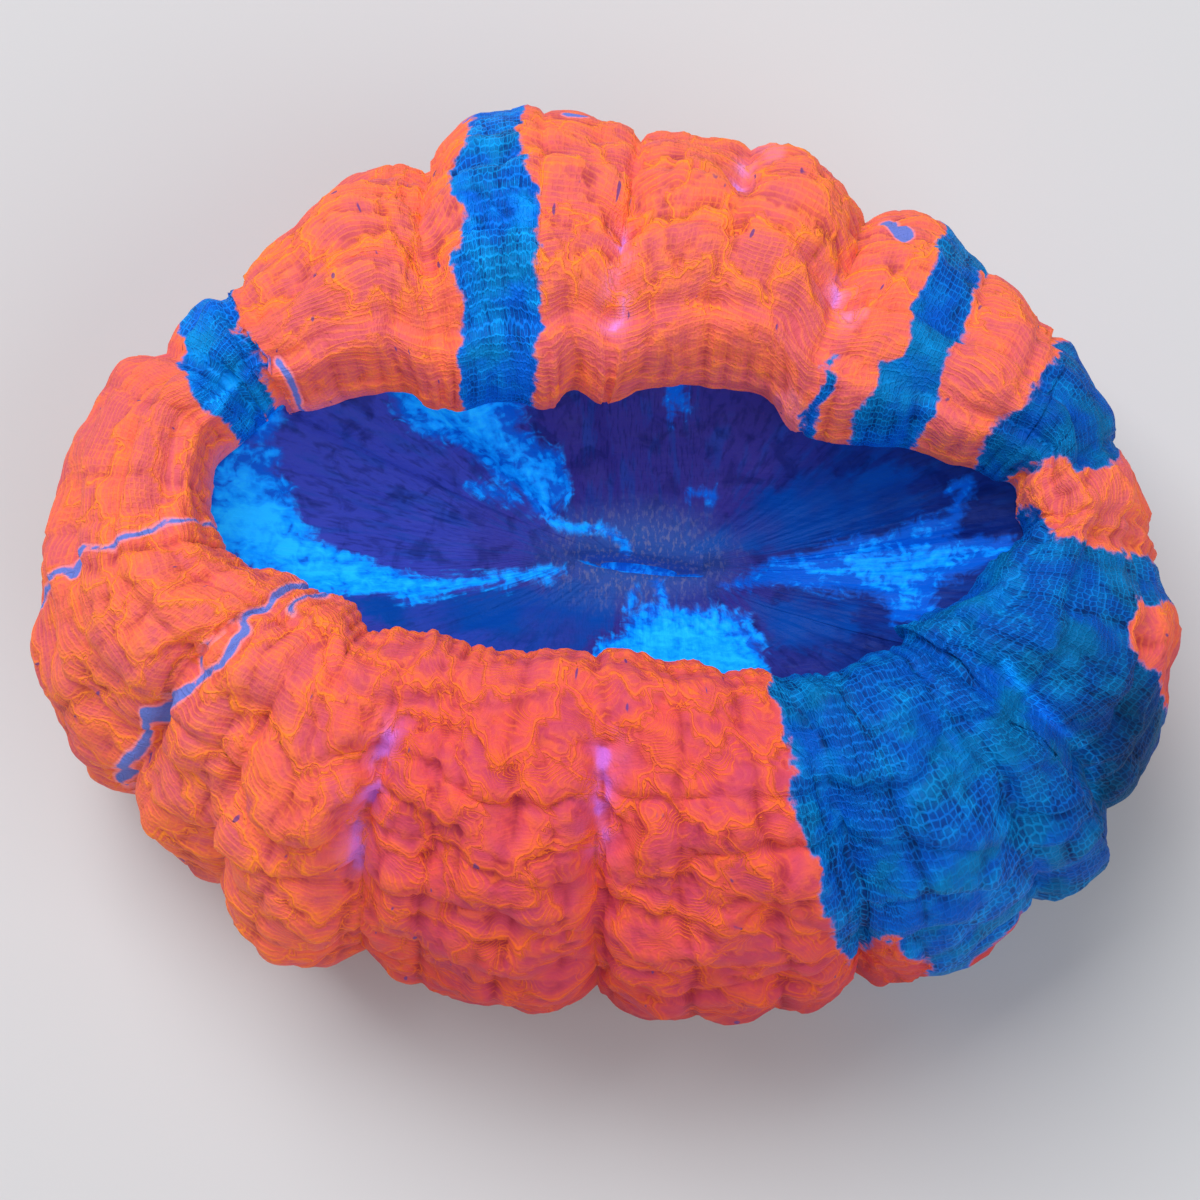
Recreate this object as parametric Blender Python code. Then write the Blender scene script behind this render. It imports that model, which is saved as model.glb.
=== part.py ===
"""A meat coral: one large fleshy polyp grown on its own stony cup, cut off flat at the foot.

Run it in Blender. The model is in metres with +Z up. Its origin is the middle of the coral's
box at the surface that the foot rests on: +X runs along the long mouth, +Y to the back.
The polyp is one grown piece, so it is one solid: a puffed ring of lobes round a sunken disc
with the mouth in its floor, a skirt that tucks under, and the ribbed foot of the cup.
"""

import math
from collections import namedtuple

import bmesh
import bpy
import numpy as np
from mathutils import Vector, noise

# Driving dimensions, in metres.
WIDTH = 0.090
DEPTH = 0.074
HEIGHT = 0.041

# Everything below is in millimetres, and is scaled to the driving dimensions at the end.
SPOKE_SPACING = 2.15  # between the steps round the coral, half way out across the flesh
DISC_RINGS = 9  # rings from the mouth to the lip of the flesh
CROWN_RINGS = 23  # rings from that lip over the crown to the widest place
SKIRT_RINGS = 5  # rings from there to the end of the underside
FOOT_RINGS = 5  # rings from the underside down the foot

# The lobes of the flesh, anticlockwise from +X. A lobe starts at a radial crease, given by its
# two ends and its depth at both. The lip and the rim of the flesh also pass through a point at
# the lobe's middle. The last number is how much higher than the others its crown stands.
Lobe = namedtuple("Lobe", "crease_in crease_out depths lip rim lift")
LOBES = (
    Lobe((30.5, -1.0), (45.4, -0.6), (0.3, 0.4), (31.5, 0.5), (45.4, 3.2), -1.6),
    Lobe((31.5, 2.0), (42.5, 9.5), (0.5, 1.3), (31.0, 3.5), (40.6, 14.6), -0.8),
    Lobe((29.5, 4.5), (37.5, 19.6), (0.5, 1.2), (27.0, 5.0), (35.9, 21.6), -0.6),
    Lobe((24.0, 6.5), (31.9, 25.0), (0.3, 0.8), (19.5, 6.5), (27.7, 29.9), 0.0),
    Lobe((15.0, 8.0), (22.4, 29.9), (1.2, 2.4), (12.0, 10.0), (17.9, 33.1), 1.2),
    Lobe((7.5, 11.0), (12.6, 35.4), (0.0, 0.3), (4.0, 10.5), (7.9, 35.7), 1.6),
    Lobe((0.5, 10.0), (3.6, 36.4), (1.0, 1.8), (-2.0, 10.0), (0.5, 38.3), 1.4),
    Lobe((-4.0, 9.5), (-4.5, 38.9), (0.2, 0.5), (-8.0, 9.5), (-8.6, 38.4), 1.2),
    Lobe((-12.0, 9.5), (-14.2, 33.6), (0.9, 1.2), (-16.0, 10.5), (-19.0, 32.7), 0.4),
    Lobe((-23.0, 9.5), (-29.1, 23.0), (0.4, 0.5), (-24.5, 9.0), (-32.4, 22.3), -0.5),
    Lobe((-26.0, 8.5), (-36.3, 16.6), (0.6, 1.3), (-29.0, 5.0), (-41.7, 12.3), -1.0),
    Lobe((-29.0, 0.5), (-45.4, -0.8), (0.3, 0.5), (-26.5, -2.0), (-44.2, -12.3), -0.8),
    Lobe((-22.0, -4.0), (-37.6, -18.6), (0.6, 1.8), (-20.0, -4.5), (-36.0, -22.7), -0.2),
    Lobe((-18.5, -5.5), (-30.6, -25.5), (0.1, 1.7), (-16.5, -7.5), (-26.0, -31.5), 0.4),
    Lobe((-13.0, -8.0), (-19.0, -31.1), (0.3, 2.4), (-7.5, -9.0), (-11.2, -34.0), 1.0),
    Lobe((-0.5, -9.5), (-0.5, -34.3), (0.5, 2.7), (6.5, -10.0), (10.6, -35.8), 1.2),
    Lobe((13.5, -11.0), (20.8, -32.8), (0.2, 1.8), (16.5, -10.5), (26.0, -32.6), 0.8),
    Lobe((21.6, -8.8), (35.0, -26.8), (0.4, 1.1), (22.1, -7.9), (41.9, -25.0), 0.0),
    Lobe((22.5, -7.0), (41.2, -19.6), (0.6, 3.2), (26.0, -5.0), (46.2, -12.0), -0.6),
)
CREASE_REACH = 2.2  # how far from its line a crease has faded to a third
RIM_SHARE = 0.6  # how much of a crease's depth the rim makes up for
CREASE_WANDER = 1.0  # how far a crease strays from its line
LOBE_PUFF = 0.9  # how far the middle of a lobe swells out

# The flesh in section, from under its lip to under its skirt. Each point has its place across
# the ring, from 0 at the lip to 1 at the outline, and its height.
MANTLE_SECTION = (
    (0.05, 30.2),
    (-0.01, 32.6),
    (0.01, 35.4),
    (0.09, 38.2),
    (0.23, 39.9),
    (0.42, 39.3),
    (0.60, 36.4),
    (0.77, 31.4),
    (0.91, 25.0),
    (0.99, 17.8),
    (0.99, 11.6),
    (0.93, 7.4),
    (0.83, 6.0),
    (0.72, 7.6),
    (0.62, 9.6),
)
WIDEST = 9  # which of those points is the widest place
TYPICAL_RING = 24.0  # the width of the ring that the section's rings are spaced for

# The disc in section: place from the mouth's edge, at 0, to under the lip, at 1, and height.
DISC_SECTION = (
    (0.00, 23.4),
    (0.07, 24.5),
    (0.16, 23.9),
    (0.30, 23.7),
    (0.50, 24.8),
    (0.70, 26.6),
    (0.86, 28.4),
    (1.00, 30.2),
)
MOUTH_CENTRE = (3.1, -0.4)
MOUTH_HALF_LENGTH = 5.6
MOUTH_HALF_WIDTH = 0.75
MOUTH_FLOOR = 21.6
MOUTH_TURN = math.radians(-7.0)
DISC_HALF_SIZE = (30.0, 10.0)  # half the disc's length and width, for pairing it with the mouth

# The foot, an oval taper with the cup's ribs.
FOOT_TOP = (24.5, 18.0)  # half length and half width where it meets the flesh
FOOT_BOTTOM = (20.5, 15.0)
FOOT_CENTRE = (0.0, -1.0)
FOOT_TOP_HEIGHT = 9.4
FOOT_WAIST = 0.8
FOOT_RIBS = 28
FOOT_RIB_HEIGHT = 0.45

# Lumps and ledges that the flesh shows from a step away.
LUMP_SIZE = 7.0
LUMP_HEIGHT = 0.8
LEDGE_START = 5.5  # how far from the lip the first ledge drops
LEDGE_SPACING = 6.0
LEDGE_HEIGHT = 1.1
RELIEF_AT_RIM = 1.0  # how far they stand out at the rim, which is drawn in by as much
# Swellings and pits in the flesh, each drawn out between two places seen from above, with how
# far it reaches and how high it stands, which is below zero for a pit.
Bump = namedtuple("Bump", "start end reach height")
BUMPS = (
    Bump((1.0, 14.5), (1.7, 21.0), 1.6, -1.2),
    Bump((17.7, 15.0), (17.7, 18.0), 1.6, -1.2),
    Bump((10.4, 25.7), (11.2, 29.0), 1.4, -1.0),
    Bump((-15.0, -15.6), (-18.1, -23.7), 1.6, -1.2),
    Bump((0.4, -16.7), (-0.2, -22.7), 1.6, -1.2),
    Bump((6.0, 25.5), (6.4, 30.0), 3.4, 0.9),
    Bump((15.2, 23.5), (15.6, 28.5), 3.4, 1.0),
    Bump((5.4, 20.2), (7.6, 20.0), 2.2, 0.7),
    Bump((11.4, 21.4), (12.6, 20.4), 2.2, 0.9),
    Bump((-8.0, 24.0), (-8.0, 32.0), 4.0, 0.7),
    Bump((-23.5, 17.5), (-21.5, 23.5), 3.6, 0.7),
)
DISC_PLEATS = 26
DISC_PLEAT_HEIGHT = 0.12
DISC_SWELL = 0.9

COLOUR = (0.84, 0.13, 0.06, 1.0)
ROUGHNESS = 0.45


def closed_curve(points, at):
    """A smooth closed curve through points, read at numbers that count the points."""
    points = np.asarray(points, float)
    count = len(points)
    first = np.floor(at).astype(int)
    part = (at - first)[:, None]
    before, here, after, beyond = (points[(first + k) % count] for k in (-1, 0, 1, 2))
    return 0.5 * (
        2 * here
        + (after - before) * part
        + (2 * before - 5 * here + 4 * after - beyond) * part**2
        + (3 * here - before - 3 * after + beyond) * part**3
    )


def even_steps(curve, across, stretches):
    """Stations along an open section, whose first value is a share of across.

    Each stretch has the number of the point that it ends at and its count of even steps.
    """
    curve = np.asarray(curve, float)
    ends = np.vstack([2 * curve[0] - curve[1], curve, 2 * curve[-1] - curve[-2]])
    fine = np.linspace(1.0, len(curve) - 1e-6, 40 * len(curve))
    points = closed_curve(ends, fine)
    steps = np.hypot(np.diff(points[:, 0]) * across, np.diff(points[:, 1]))
    length = np.concatenate([[0.0], np.cumsum(steps)])
    wanted, start = [0.0], 0.0
    for last, count in stretches:
        end = np.interp(last + 1.0, fine, length)
        wanted += list(start + (end - start) * np.arange(1, count + 1) / count)
        start = end
    return np.stack([np.interp(wanted, length, column) for column in points.T], axis=1), wanted


def lobe_curves():
    """The lip and the rim before their relief, with a point at every crease and lobe's middle."""
    lip, rim = [], []
    for lobe in LOBES:
        for inner, outer, (drop_in, drop_out) in (
            (lobe.crease_in, lobe.crease_out, lobe.depths),
            (lobe.lip, lobe.rim, (-0.3, -LOBE_PUFF)),
        ):
            ends = np.array([inner, outer])
            along = (ends[1] - ends[0]) / np.linalg.norm(ends[1] - ends[0])
            lip.append(ends[0] - along * drop_in)
            rim.append(ends[1] + along * (RIM_SHARE * drop_out - RELIEF_AT_RIM))
    return np.array(lip), np.array(rim)


def spoke_places():
    """Where the spokes stand, counted in lobes from the first crease, with one on every crease."""
    lip, rim = lobe_curves()
    middle = (lip + 2 * rim) / 3
    steps = np.linalg.norm(np.roll(middle, -1, axis=0) - middle, axis=1)
    places = []
    for lobe, length in enumerate(steps[0::2] + steps[1::2]):
        count = max(3, round(length / SPOKE_SPACING))
        places += [lobe + step / count for step in range(count)]
    return np.array(places)


def noise_at(points, size, shift=0.0):
    """Smooth noise from about -1 to 1 at each point, with lumps of the given size."""
    flat = points.reshape(-1, 3) / size + shift
    return np.array([noise.noise(Vector(p)) for p in flat]).reshape(points.shape[:-1])


def normals_of(grid):
    """The outward direction at each point of a grid of spokes by rings."""
    around = np.roll(grid, -1, axis=0) - np.roll(grid, 1, axis=0)
    along = np.gradient(grid, axis=1)
    normal = np.cross(along, around)
    return normal / np.maximum(np.linalg.norm(normal, axis=2, keepdims=True), 1e-9)


def mantle_grid(places):
    """The ring of flesh before its relief, and each ring's place across, way along and rise."""
    lip, rim = (closed_curve(curve, 2 * places) for curve in lobe_curves())
    stretches = ((WIDEST, CROWN_RINGS), (len(MANTLE_SECTION) - 1, SKIRT_RINGS))
    section, along = even_steps(MANTLE_SECTION, TYPICAL_RING, stretches)
    lift = closed_curve([[lobe.lift] for lobe in LOBES], (places - 0.5) % len(LOBES))
    share, height = section[:, 0], section[:, 1]
    level = lip[:, None] + (rim - lip)[:, None] * share[None, :, None]
    raised = np.clip((height - 12.0) / 24.0, 0.0, 1.0)
    return np.dstack([level, height + lift * raised]), share, np.array(along), raised


def crease_relief(places, grid, share):
    """How far the creases pull the flesh in and the lobes swell out."""
    lobes = len(LOBES)
    middle = grid[:, grid.shape[1] // 3, :2]
    steps = np.linalg.norm(np.roll(middle, -1, axis=0) - np.roll(middle, 1, axis=0), axis=1)
    turns = (np.roll(places, -1) - np.roll(places, 1)) % lobes
    scale = (steps / turns)[:, None]  # millimetres to one lobe, at each spoke
    outward = np.clip(share, 0.0, 1.0) ** 1.3
    relief = np.zeros(grid.shape[:2])
    for number, lobe in enumerate(LOBES):
        inner_depth, outer_depth = lobe.depths
        away = np.abs((places[:, None] - number + lobes / 2) % lobes - lobes / 2) * scale
        depth = inner_depth + (outer_depth - inner_depth) * outward
        relief -= depth * np.exp(-away / CREASE_REACH)
    inside = (places % 1.0)[:, None]
    return relief + LOBE_PUFF * np.sqrt(np.clip(4 * inside * (1 - inside), 0.0, 1.0)) * outward


def fold_relief(grid, along, raised):
    """The lumps, and the ledges that run round the ring, each with its drop on the outside."""
    lumps = 2.0 * noise_at(grid, LUMP_SIZE) + noise_at(grid, LUMP_SIZE / 2, 17.0)
    front = np.clip(0.7 - grid[:, :, 1] / 50.0, 0.5, 1.2)
    waver = (1.2 * front - 0.3) * noise_at(grid, 10.0, 31.0)
    step = ((along - LEDGE_START) / LEDGE_SPACING + waver) % 1.0
    ledges = 1.6 * step * (1.0 - step**4)
    away_from_lip = np.clip((along - 4.0) / 8.0, 0.0, 1.0)
    height = LUMP_HEIGHT * lumps * front + LEDGE_HEIGHT * ledges * (1.2 - 0.4 * front)
    return height * away_from_lip * (0.4 + 0.6 * raised)


def bump_relief(grid):
    """How far the swellings and pits move the flesh."""
    relief = np.zeros(grid.shape[:2])
    for bump in BUMPS:
        run = np.subtract(bump.end, bump.start)
        offset = grid[:, :, :2] - bump.start
        share = np.clip(offset @ run / (run @ run), 0.0, 1.0)
        away = np.linalg.norm(offset - share[:, :, None] * run, axis=2)
        relief += bump.height * np.exp(-((away / bump.reach) ** 2))
    return relief * (grid[:, :, 2] > MOUTH_FLOOR)


def sideways(grid):
    """A drift along the rings that lets the creases wander."""
    around = np.roll(grid, -1, axis=0) - np.roll(grid, 1, axis=0)
    around /= np.linalg.norm(around, axis=2, keepdims=True)
    return around * noise_at(grid, 11.0, 53.0)[:, :, None]


def disc_grid(rim):
    """The sunken disc, from the mouth's edge to the flesh's first ring."""
    centre = np.array(MOUTH_CENTRE)
    offset = (rim[:, :2] - centre) / DISC_HALF_SIZE
    turn = np.arctan2(offset[:, 1], offset[:, 0])
    oval = np.stack([MOUTH_HALF_LENGTH * np.cos(turn), MOUTH_HALF_WIDTH * np.sin(turn)], axis=1)
    c, s = math.cos(MOUTH_TURN), math.sin(MOUTH_TURN)
    mouth = oval @ np.array([[c, s], [-s, c]]) + centre
    section = even_steps(DISC_SECTION, 14.0, ((len(DISC_SECTION) - 1, DISC_RINGS),))[0][:-1]
    share, height = section[:, 0], section[:, 1]
    level = mouth[:, None] + (rim[:, None, :2] - mouth[:, None]) * share[None, :, None]
    rise = (rim[:, 2] - DISC_SECTION[-1][1])[:, None] * share
    pleats = np.sin(DISC_PLEATS * turn + 0.8 * np.sin(3 * turn))[:, None]
    swell = noise_at(np.dstack([level, np.zeros(level.shape[:2])]), 9.0, 11.0)
    relief = (DISC_PLEAT_HEIGHT * pleats + DISC_SWELL * swell) * share**2 * (1 - share) * 5
    disc = np.dstack([level, height + rise + relief])
    inside = centre + (mouth[:, None] - centre) * 0.62
    floor = np.dstack([inside, np.full((len(rim), 1), MOUTH_FLOOR)])
    return np.hstack([floor, disc])


def foot_grid(hem):
    """The underside from the skirt in to the foot, and the ribbed foot down to its cut."""
    turn = np.arctan2((hem[:, 1] - FOOT_CENTRE[1]) / DEPTH, (hem[:, 0] - FOOT_CENTRE[0]) / WIDTH)
    round_foot = np.stack([np.cos(turn), np.sin(turn)], axis=1)
    top = round_foot * FOOT_TOP + FOOT_CENTRE
    under = (hem[:, :2] + top) / 2
    under_height = (hem[:, 2].mean() + FOOT_TOP_HEIGHT) / 2 + 0.6
    rings = [np.column_stack([under, np.full(len(hem), under_height)])]
    ribs = FOOT_RIB_HEIGHT * np.cos(FOOT_RIBS * turn)[:, None]
    for step in range(FOOT_RINGS - 1):
        down = step / (FOOT_RINGS - 2)
        half = (1 - down) * np.array(FOOT_TOP) + down * np.array(FOOT_BOTTOM)
        half = half - FOOT_WAIST * math.sin(math.pi * down) + ribs * (1 - 0.6 * down)
        level = round_foot * half + FOOT_CENTRE
        rings.append(np.column_stack([level, np.full(len(hem), FOOT_TOP_HEIGHT * (1 - down))]))
    return np.stack(rings, axis=1)


def coral_grid():
    """All rings at every spoke, from the mouth's floor to the foot's cut, in millimetres."""
    places = spoke_places()
    mantle, share, along, raised = mantle_grid(places)
    mantle = mantle + normals_of(mantle) * crease_relief(places, mantle, share)[:, :, None]
    relief = fold_relief(mantle, along, raised) + bump_relief(mantle)
    mantle = mantle + normals_of(mantle) * relief[:, :, None]
    mantle = mantle + sideways(mantle) * (CREASE_WANDER * raised)[:, None]
    return np.hstack([disc_grid(mantle[:, 0]), mantle, foot_grid(mantle[:, -1])])


def fitted(grid):
    """The grid in metres, at the driving dimensions, centred over the origin and resting on it."""
    low, high = grid.min(axis=(0, 1)), grid.max(axis=(0, 1))
    grid = (grid - [(low[0] + high[0]) / 2, (low[1] + high[1]) / 2, low[2]]) / (high - low)
    return grid * [WIDTH, DEPTH, HEIGHT]


def blank(spokes, rings):
    """A flat turned blank with a ring for each station of the section, closed by a fan at each end."""
    work = bmesh.new()
    line = [work.verts.new((ring + 1.0, 0.0, 0.0)) for ring in range(rings)]
    for inner, outer in zip(line, line[1:]):
        work.edges.new((inner, outer))
    bmesh.ops.spin(
        work,
        geom=work.verts[:] + work.edges[:],
        cent=(0.0, 0.0, 0.0),
        axis=(0.0, 0.0, 1.0),
        angle=2 * math.pi,
        steps=spokes,
        use_merge=True,
    )
    open_edges = [edge for edge in work.edges if edge.is_boundary]
    caps = bmesh.ops.holes_fill(work, edges=open_edges, sides=0)["faces"]
    bmesh.ops.poke(work, faces=caps)
    return work


def shape_blank(work, grid):
    """Moves each point of the blank to its place on the coral."""
    spokes, rings = grid.shape[:2]
    for point in work.verts:
        ring = round(math.hypot(point.co.x, point.co.y)) - 1
        if ring >= 0:
            spoke = round(math.atan2(point.co.y, point.co.x) * spokes / (2 * math.pi)) % spokes
            point.tag = False
            point.co = grid[spoke, ring]
        else:
            point.tag = True
    for pole in [point for point in work.verts if point.tag]:
        around = [edge.other_vert(pole).co for edge in pole.link_edges]
        pole.co = sum(around, Vector()) / len(around)


def material():
    """The flesh's colour and shine."""
    made = bpy.data.materials.new("coral_flesh")
    made.use_nodes = True
    shader = made.node_tree.nodes["Principled BSDF"]
    shader.inputs["Base Color"].default_value = COLOUR
    shader.inputs["Roughness"].default_value = ROUGHNESS
    return made


def build():
    """The coral as one object."""
    for old in list(bpy.data.objects):
        bpy.data.objects.remove(old)
    grid = fitted(coral_grid())
    work = blank(*grid.shape[:2])
    shape_blank(work, grid)
    bmesh.ops.recalc_face_normals(work, faces=work.faces[:])
    bmesh.ops.triangulate(work, faces=work.faces[:])
    mesh = bpy.data.meshes.new("coral_polyp")
    work.to_mesh(mesh)
    work.free()
    mesh.shade_smooth()
    mesh.materials.append(material())
    coral = bpy.data.objects.new("coral_polyp", mesh)
    bpy.context.scene.collection.objects.link(coral)
    return coral


build()
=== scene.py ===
"""A meat coral in its finished looks: swollen flesh, a sunken oral disc and a stony foot.

The coral is one large polyp. Its flesh is a puffed ring of lobes, terraced with fine wrinkles and
netted with bright lines, and it is orange-red with teal and blue sectors. The ring surrounds an
indigo disc with azure blotches and a slit mouth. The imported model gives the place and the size.
"""

import logging
import math
from dataclasses import dataclass
from enum import Enum
from functools import cached_property

import bmesh
import bpy
import numpy as np
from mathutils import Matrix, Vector, noise


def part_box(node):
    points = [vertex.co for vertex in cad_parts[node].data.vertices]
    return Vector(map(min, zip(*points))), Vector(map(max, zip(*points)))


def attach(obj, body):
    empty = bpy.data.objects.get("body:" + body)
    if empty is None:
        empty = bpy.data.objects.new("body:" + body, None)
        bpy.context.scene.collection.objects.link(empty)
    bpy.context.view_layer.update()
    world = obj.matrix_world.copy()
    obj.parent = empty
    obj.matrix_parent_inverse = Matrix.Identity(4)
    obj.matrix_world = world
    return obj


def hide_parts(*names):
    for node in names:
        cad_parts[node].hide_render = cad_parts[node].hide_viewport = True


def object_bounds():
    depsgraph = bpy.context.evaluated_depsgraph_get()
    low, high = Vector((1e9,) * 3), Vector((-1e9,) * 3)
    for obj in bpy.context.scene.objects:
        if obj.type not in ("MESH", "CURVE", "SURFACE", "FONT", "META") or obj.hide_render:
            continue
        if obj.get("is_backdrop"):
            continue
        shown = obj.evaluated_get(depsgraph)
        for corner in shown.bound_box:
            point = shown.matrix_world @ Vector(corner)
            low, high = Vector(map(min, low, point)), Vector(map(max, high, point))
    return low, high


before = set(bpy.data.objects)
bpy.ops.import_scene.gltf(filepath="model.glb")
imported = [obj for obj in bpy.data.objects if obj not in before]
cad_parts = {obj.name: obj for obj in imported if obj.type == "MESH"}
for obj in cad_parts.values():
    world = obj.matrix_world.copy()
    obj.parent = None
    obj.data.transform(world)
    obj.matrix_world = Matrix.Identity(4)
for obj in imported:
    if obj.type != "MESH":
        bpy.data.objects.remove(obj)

LOG = logging.getLogger("meat_coral")
NODE = "coral_polyp"
BODY = "root"
MM = 0.001

Grid = np.ndarray
Point = tuple[float, float]
Place = tuple[float, float, float]
Colour = tuple[float, float, float]
Socket = bpy.types.NodeSocket
Value = Socket | float | tuple[float, ...]


class Slot(Enum):
    """The pieces' material slots."""

    FLESH = "coral_flesh"
    DISC = "oral_disc"
    CUP = "corallum"


class Layer(Enum):
    """Names of what the meshes carry for their finishes to read."""

    NET = "net"
    CONTOUR = "contour"
    EDGE = "edge"
    SCALE = "scale"
    # Painted highlight: where the relief stands above its surroundings.
    CREST_HIGHLIGHT = "crest_highlight"
    # Painted shade: where the relief lies below its surroundings.
    SHADED_HOLLOW = "shaded_hollow"
    TEAL = "teal"
    TONE = "tone"
    LILAC = "lilac"
    GLOW = "glow"
    SHADE = "shade"
    FRONT = "front"
    AZURE = "azure"
    NAVY = "navy"
    SAND = "sand"


# ---------------------------------------------------------------------------------------------
# Curves, noise and grids
# ---------------------------------------------------------------------------------------------


def closed_curve(points: Grid, at: Grid) -> Grid:
    """A smooth closed curve through points.

    Args:
        points: The points that the curve passes through.
        at: Where to read it, counted in points from the first.

    Returns:
        One row for each reading.
    """
    points = np.asarray(points, float)
    count = len(points)
    first = np.floor(at).astype(int)
    part = (at - first)[:, None]
    before, here, after, beyond = (points[(first + k) % count] for k in (-1, 0, 1, 2))
    return 0.5 * (
        2 * here
        + (after - before) * part
        + (2 * before - 5 * here + 4 * after - beyond) * part**2
        + (3 * here - before - 3 * after + beyond) * part**3
    )


def stations(curve: tuple, across: float, stretches: tuple) -> tuple[Grid, Grid]:
    """Evenly spaced stations along an open section.

    Args:
        curve: The section's points, each a share across and a height.
        across: How many millimetres a share of 1 is.
        stretches: For each stretch, the number of its last point and its count of steps.

    Returns:
        The stations, and how far along the section each of them is.
    """
    points = np.asarray(curve, float)
    ends = np.vstack([2 * points[0] - points[1], points, 2 * points[-1] - points[-2]])
    fine = np.linspace(1.0, len(points) - 1e-6, 40 * len(points))
    smooth = closed_curve(ends, fine)
    steps = np.hypot(np.diff(smooth[:, 0]) * across, np.diff(smooth[:, 1]))
    length = np.concatenate([[0.0], np.cumsum(steps)])
    wanted, start = [0.0], 0.0
    for last, count in stretches:
        end = np.interp(last + 1.0, fine, length)
        wanted += list(start + (end - start) * np.arange(1, count + 1) / count)
        start = end
    read = [np.interp(wanted, length, column) for column in smooth.T]
    return np.stack(read, axis=1), np.array(wanted)


def noise_at(points: Grid, size: float, shift: float = 0.0) -> Grid:
    """Smooth noise from about -1 to 1.

    Args:
        points: Where to read it, in millimetres.
        size: How large its lumps are, in millimetres.
        shift: Where in the noise to start, which tells one use of it from another.

    Returns:
        One value for each place.
    """
    flat = points.reshape(-1, 3) / size + shift
    return np.array([noise.noise(Vector(p)) for p in flat]).reshape(points.shape[:-1])


def normals_of(grid: Grid) -> Grid:
    """The outward direction at each point of a grid of spokes by rings.

    Args:
        grid: The points.

    Returns:
        A direction of length 1 for each point.
    """
    around = np.roll(grid, -1, axis=0) - np.roll(grid, 1, axis=0)
    along = np.gradient(grid, axis=1)
    normal = np.cross(along, around)
    return normal / np.maximum(np.linalg.norm(normal, axis=2, keepdims=True), 1e-9)


def ramp(value: Grid, start: float, end: float) -> Grid:
    """0 up to the start, 1 from the end on, and straight between them."""
    return np.clip((value - start) / (end - start), 0.0, 1.0)


def shingle(phase: Grid, sharp: float) -> Grid:
    """A row of steps that rise slowly to 1 and drop quickly, one to each whole number.

    Args:
        phase: How far along the row each point is.
        sharp: How quickly a step drops.

    Returns:
        The height of each point.
    """
    step = phase % 1.0
    top = (1.0 / (sharp + 1.0)) ** (1.0 / sharp)
    return step * (1.0 - step**sharp) / (top * (1.0 - top**sharp))


@dataclass(frozen=True)
class Scales:
    """Overlapping rounded scales with lobed edges, laid like shingles round a ring.

    Attributes:
        count: How many columns of scales stand round the ring.
        pitch: The spacing of their rows, in millimetres.
        seed: Which random set of scales.
        stray: How far a scale strays across and along, as shares of the spacing.
        radii: The smallest radius and what chance adds to it, as shares of the pitch.
        large_lobes: How far the four large lobes of a scale's edge stand out, as a share.
        small_lobes: The same for its ten small lobes.
        phase: How far chance turns the lobes, in radians.
        brow: How far in from its edge a scale rises, in millimetres.
        slope: How much higher its outer side lies than its inner side.
        uneven: What chance adds to its height.
        floor: The height where there is no scale.
    """

    count: int
    pitch: float
    seed: int
    stray: Point = (0.5, 0.6)
    radii: Point = (0.80, 0.30)
    large_lobes: float = 0.10
    small_lobes: float = 0.06
    phase: float = 6.3
    brow: float = 0.5
    slope: float = 0.55
    uneven: float = 0.5
    floor: float = -0.6

    def laid(self, across: Grid, along: Grid) -> tuple[Grid, Grid, Grid]:
        """The scales that show at each point, where the highest one covers the others.

        Args:
            across: How far round the ring each point is, from 0 to 1.
            along: How far out it is, in millimetres.

        Returns:
            The height of the top scale, how far inside its edge the point is in millimetres, and
            a number from 0 to 1 that differs from scale to scale.
        """
        rows = int(along.max() / self.pitch) + 6
        cast = np.random.default_rng(self.seed).random((self.count, rows, 6))
        x, y = across * self.count, along / self.pitch + 2.0
        height, inside, mark = (np.full(along.shape, low) for low in (self.floor, 0.0, 0.0))
        # Each point looks at its own scale and at the eight round it.
        for step in range(9):
            column, row = np.floor(x) + step // 3 - 1, np.floor(y) + step % 3 - 1
            chance = cast[column.astype(int) % self.count, row.astype(int) % rows]
            off_x = x - column - 0.5 - self.stray[0] * (chance[..., 0] - 0.5)
            off_y = y - row - 0.5 - self.stray[1] * (chance[..., 1] - 0.5)
            edge = self.edge(np.arctan2(off_x, off_y), chance)
            within = (edge - np.hypot(off_x, off_y)) * self.pitch
            rise = np.clip(within / self.brow, 0.0, 1.0)
            rise = rise * rise * (3.0 - 2.0 * rise)
            rise = rise + self.slope * off_y + self.uneven * chance[..., 5]
            wins = (within > 0.0) & (rise > height)
            height, inside = np.where(wins, rise, height), np.where(wins, within, inside)
            mark = np.where(wins, chance[..., 3], mark)
        return height, inside, mark

    def edge(self, turn: Grid, chance: Grid) -> Grid:
        """How far a scale reaches from its middle.

        Args:
            turn: The way from its middle, in radians.
            chance: The scale's random numbers.

        Returns:
            The scale's radius each way, as a share of the pitch.
        """
        lobed = self.large_lobes * np.sin(4 * turn + self.phase * chance[..., 3])
        lobed = 1.0 + lobed + self.small_lobes * np.sin(10 * turn + self.phase * chance[..., 4])
        return (self.radii[0] + self.radii[1] * chance[..., 2]) * lobed


def blurred(value: Grid, reach: int) -> Grid:
    """A grid's values averaged over their neighbours, round the ring and along it.

    Args:
        value: The values.
        reach: How many neighbours on each side count.

    Returns:
        The averages.
    """
    for axis in (0, 1):
        total = sum(np.roll(value, step, axis) for step in range(-reach, reach + 1))
        value = total / (2 * reach + 1)
    return value


def wandering(plan: Grid, size: float, reach: float) -> Grid:
    """Places in plan, each moved a little by smooth noise, so that what is drawn wavers.

    Args:
        plan: The places, in millimetres.
        size: How large the noise's lumps are.
        reach: How far a place moves at most.

    Returns:
        The moved places.
    """
    solid = np.dstack([plan, np.zeros(plan.shape[:-1])])
    moves = [noise_at(solid, size, shift) for shift in (3.0, 47.0)]
    return plan + reach * np.stack(moves, axis=-1)


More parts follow.
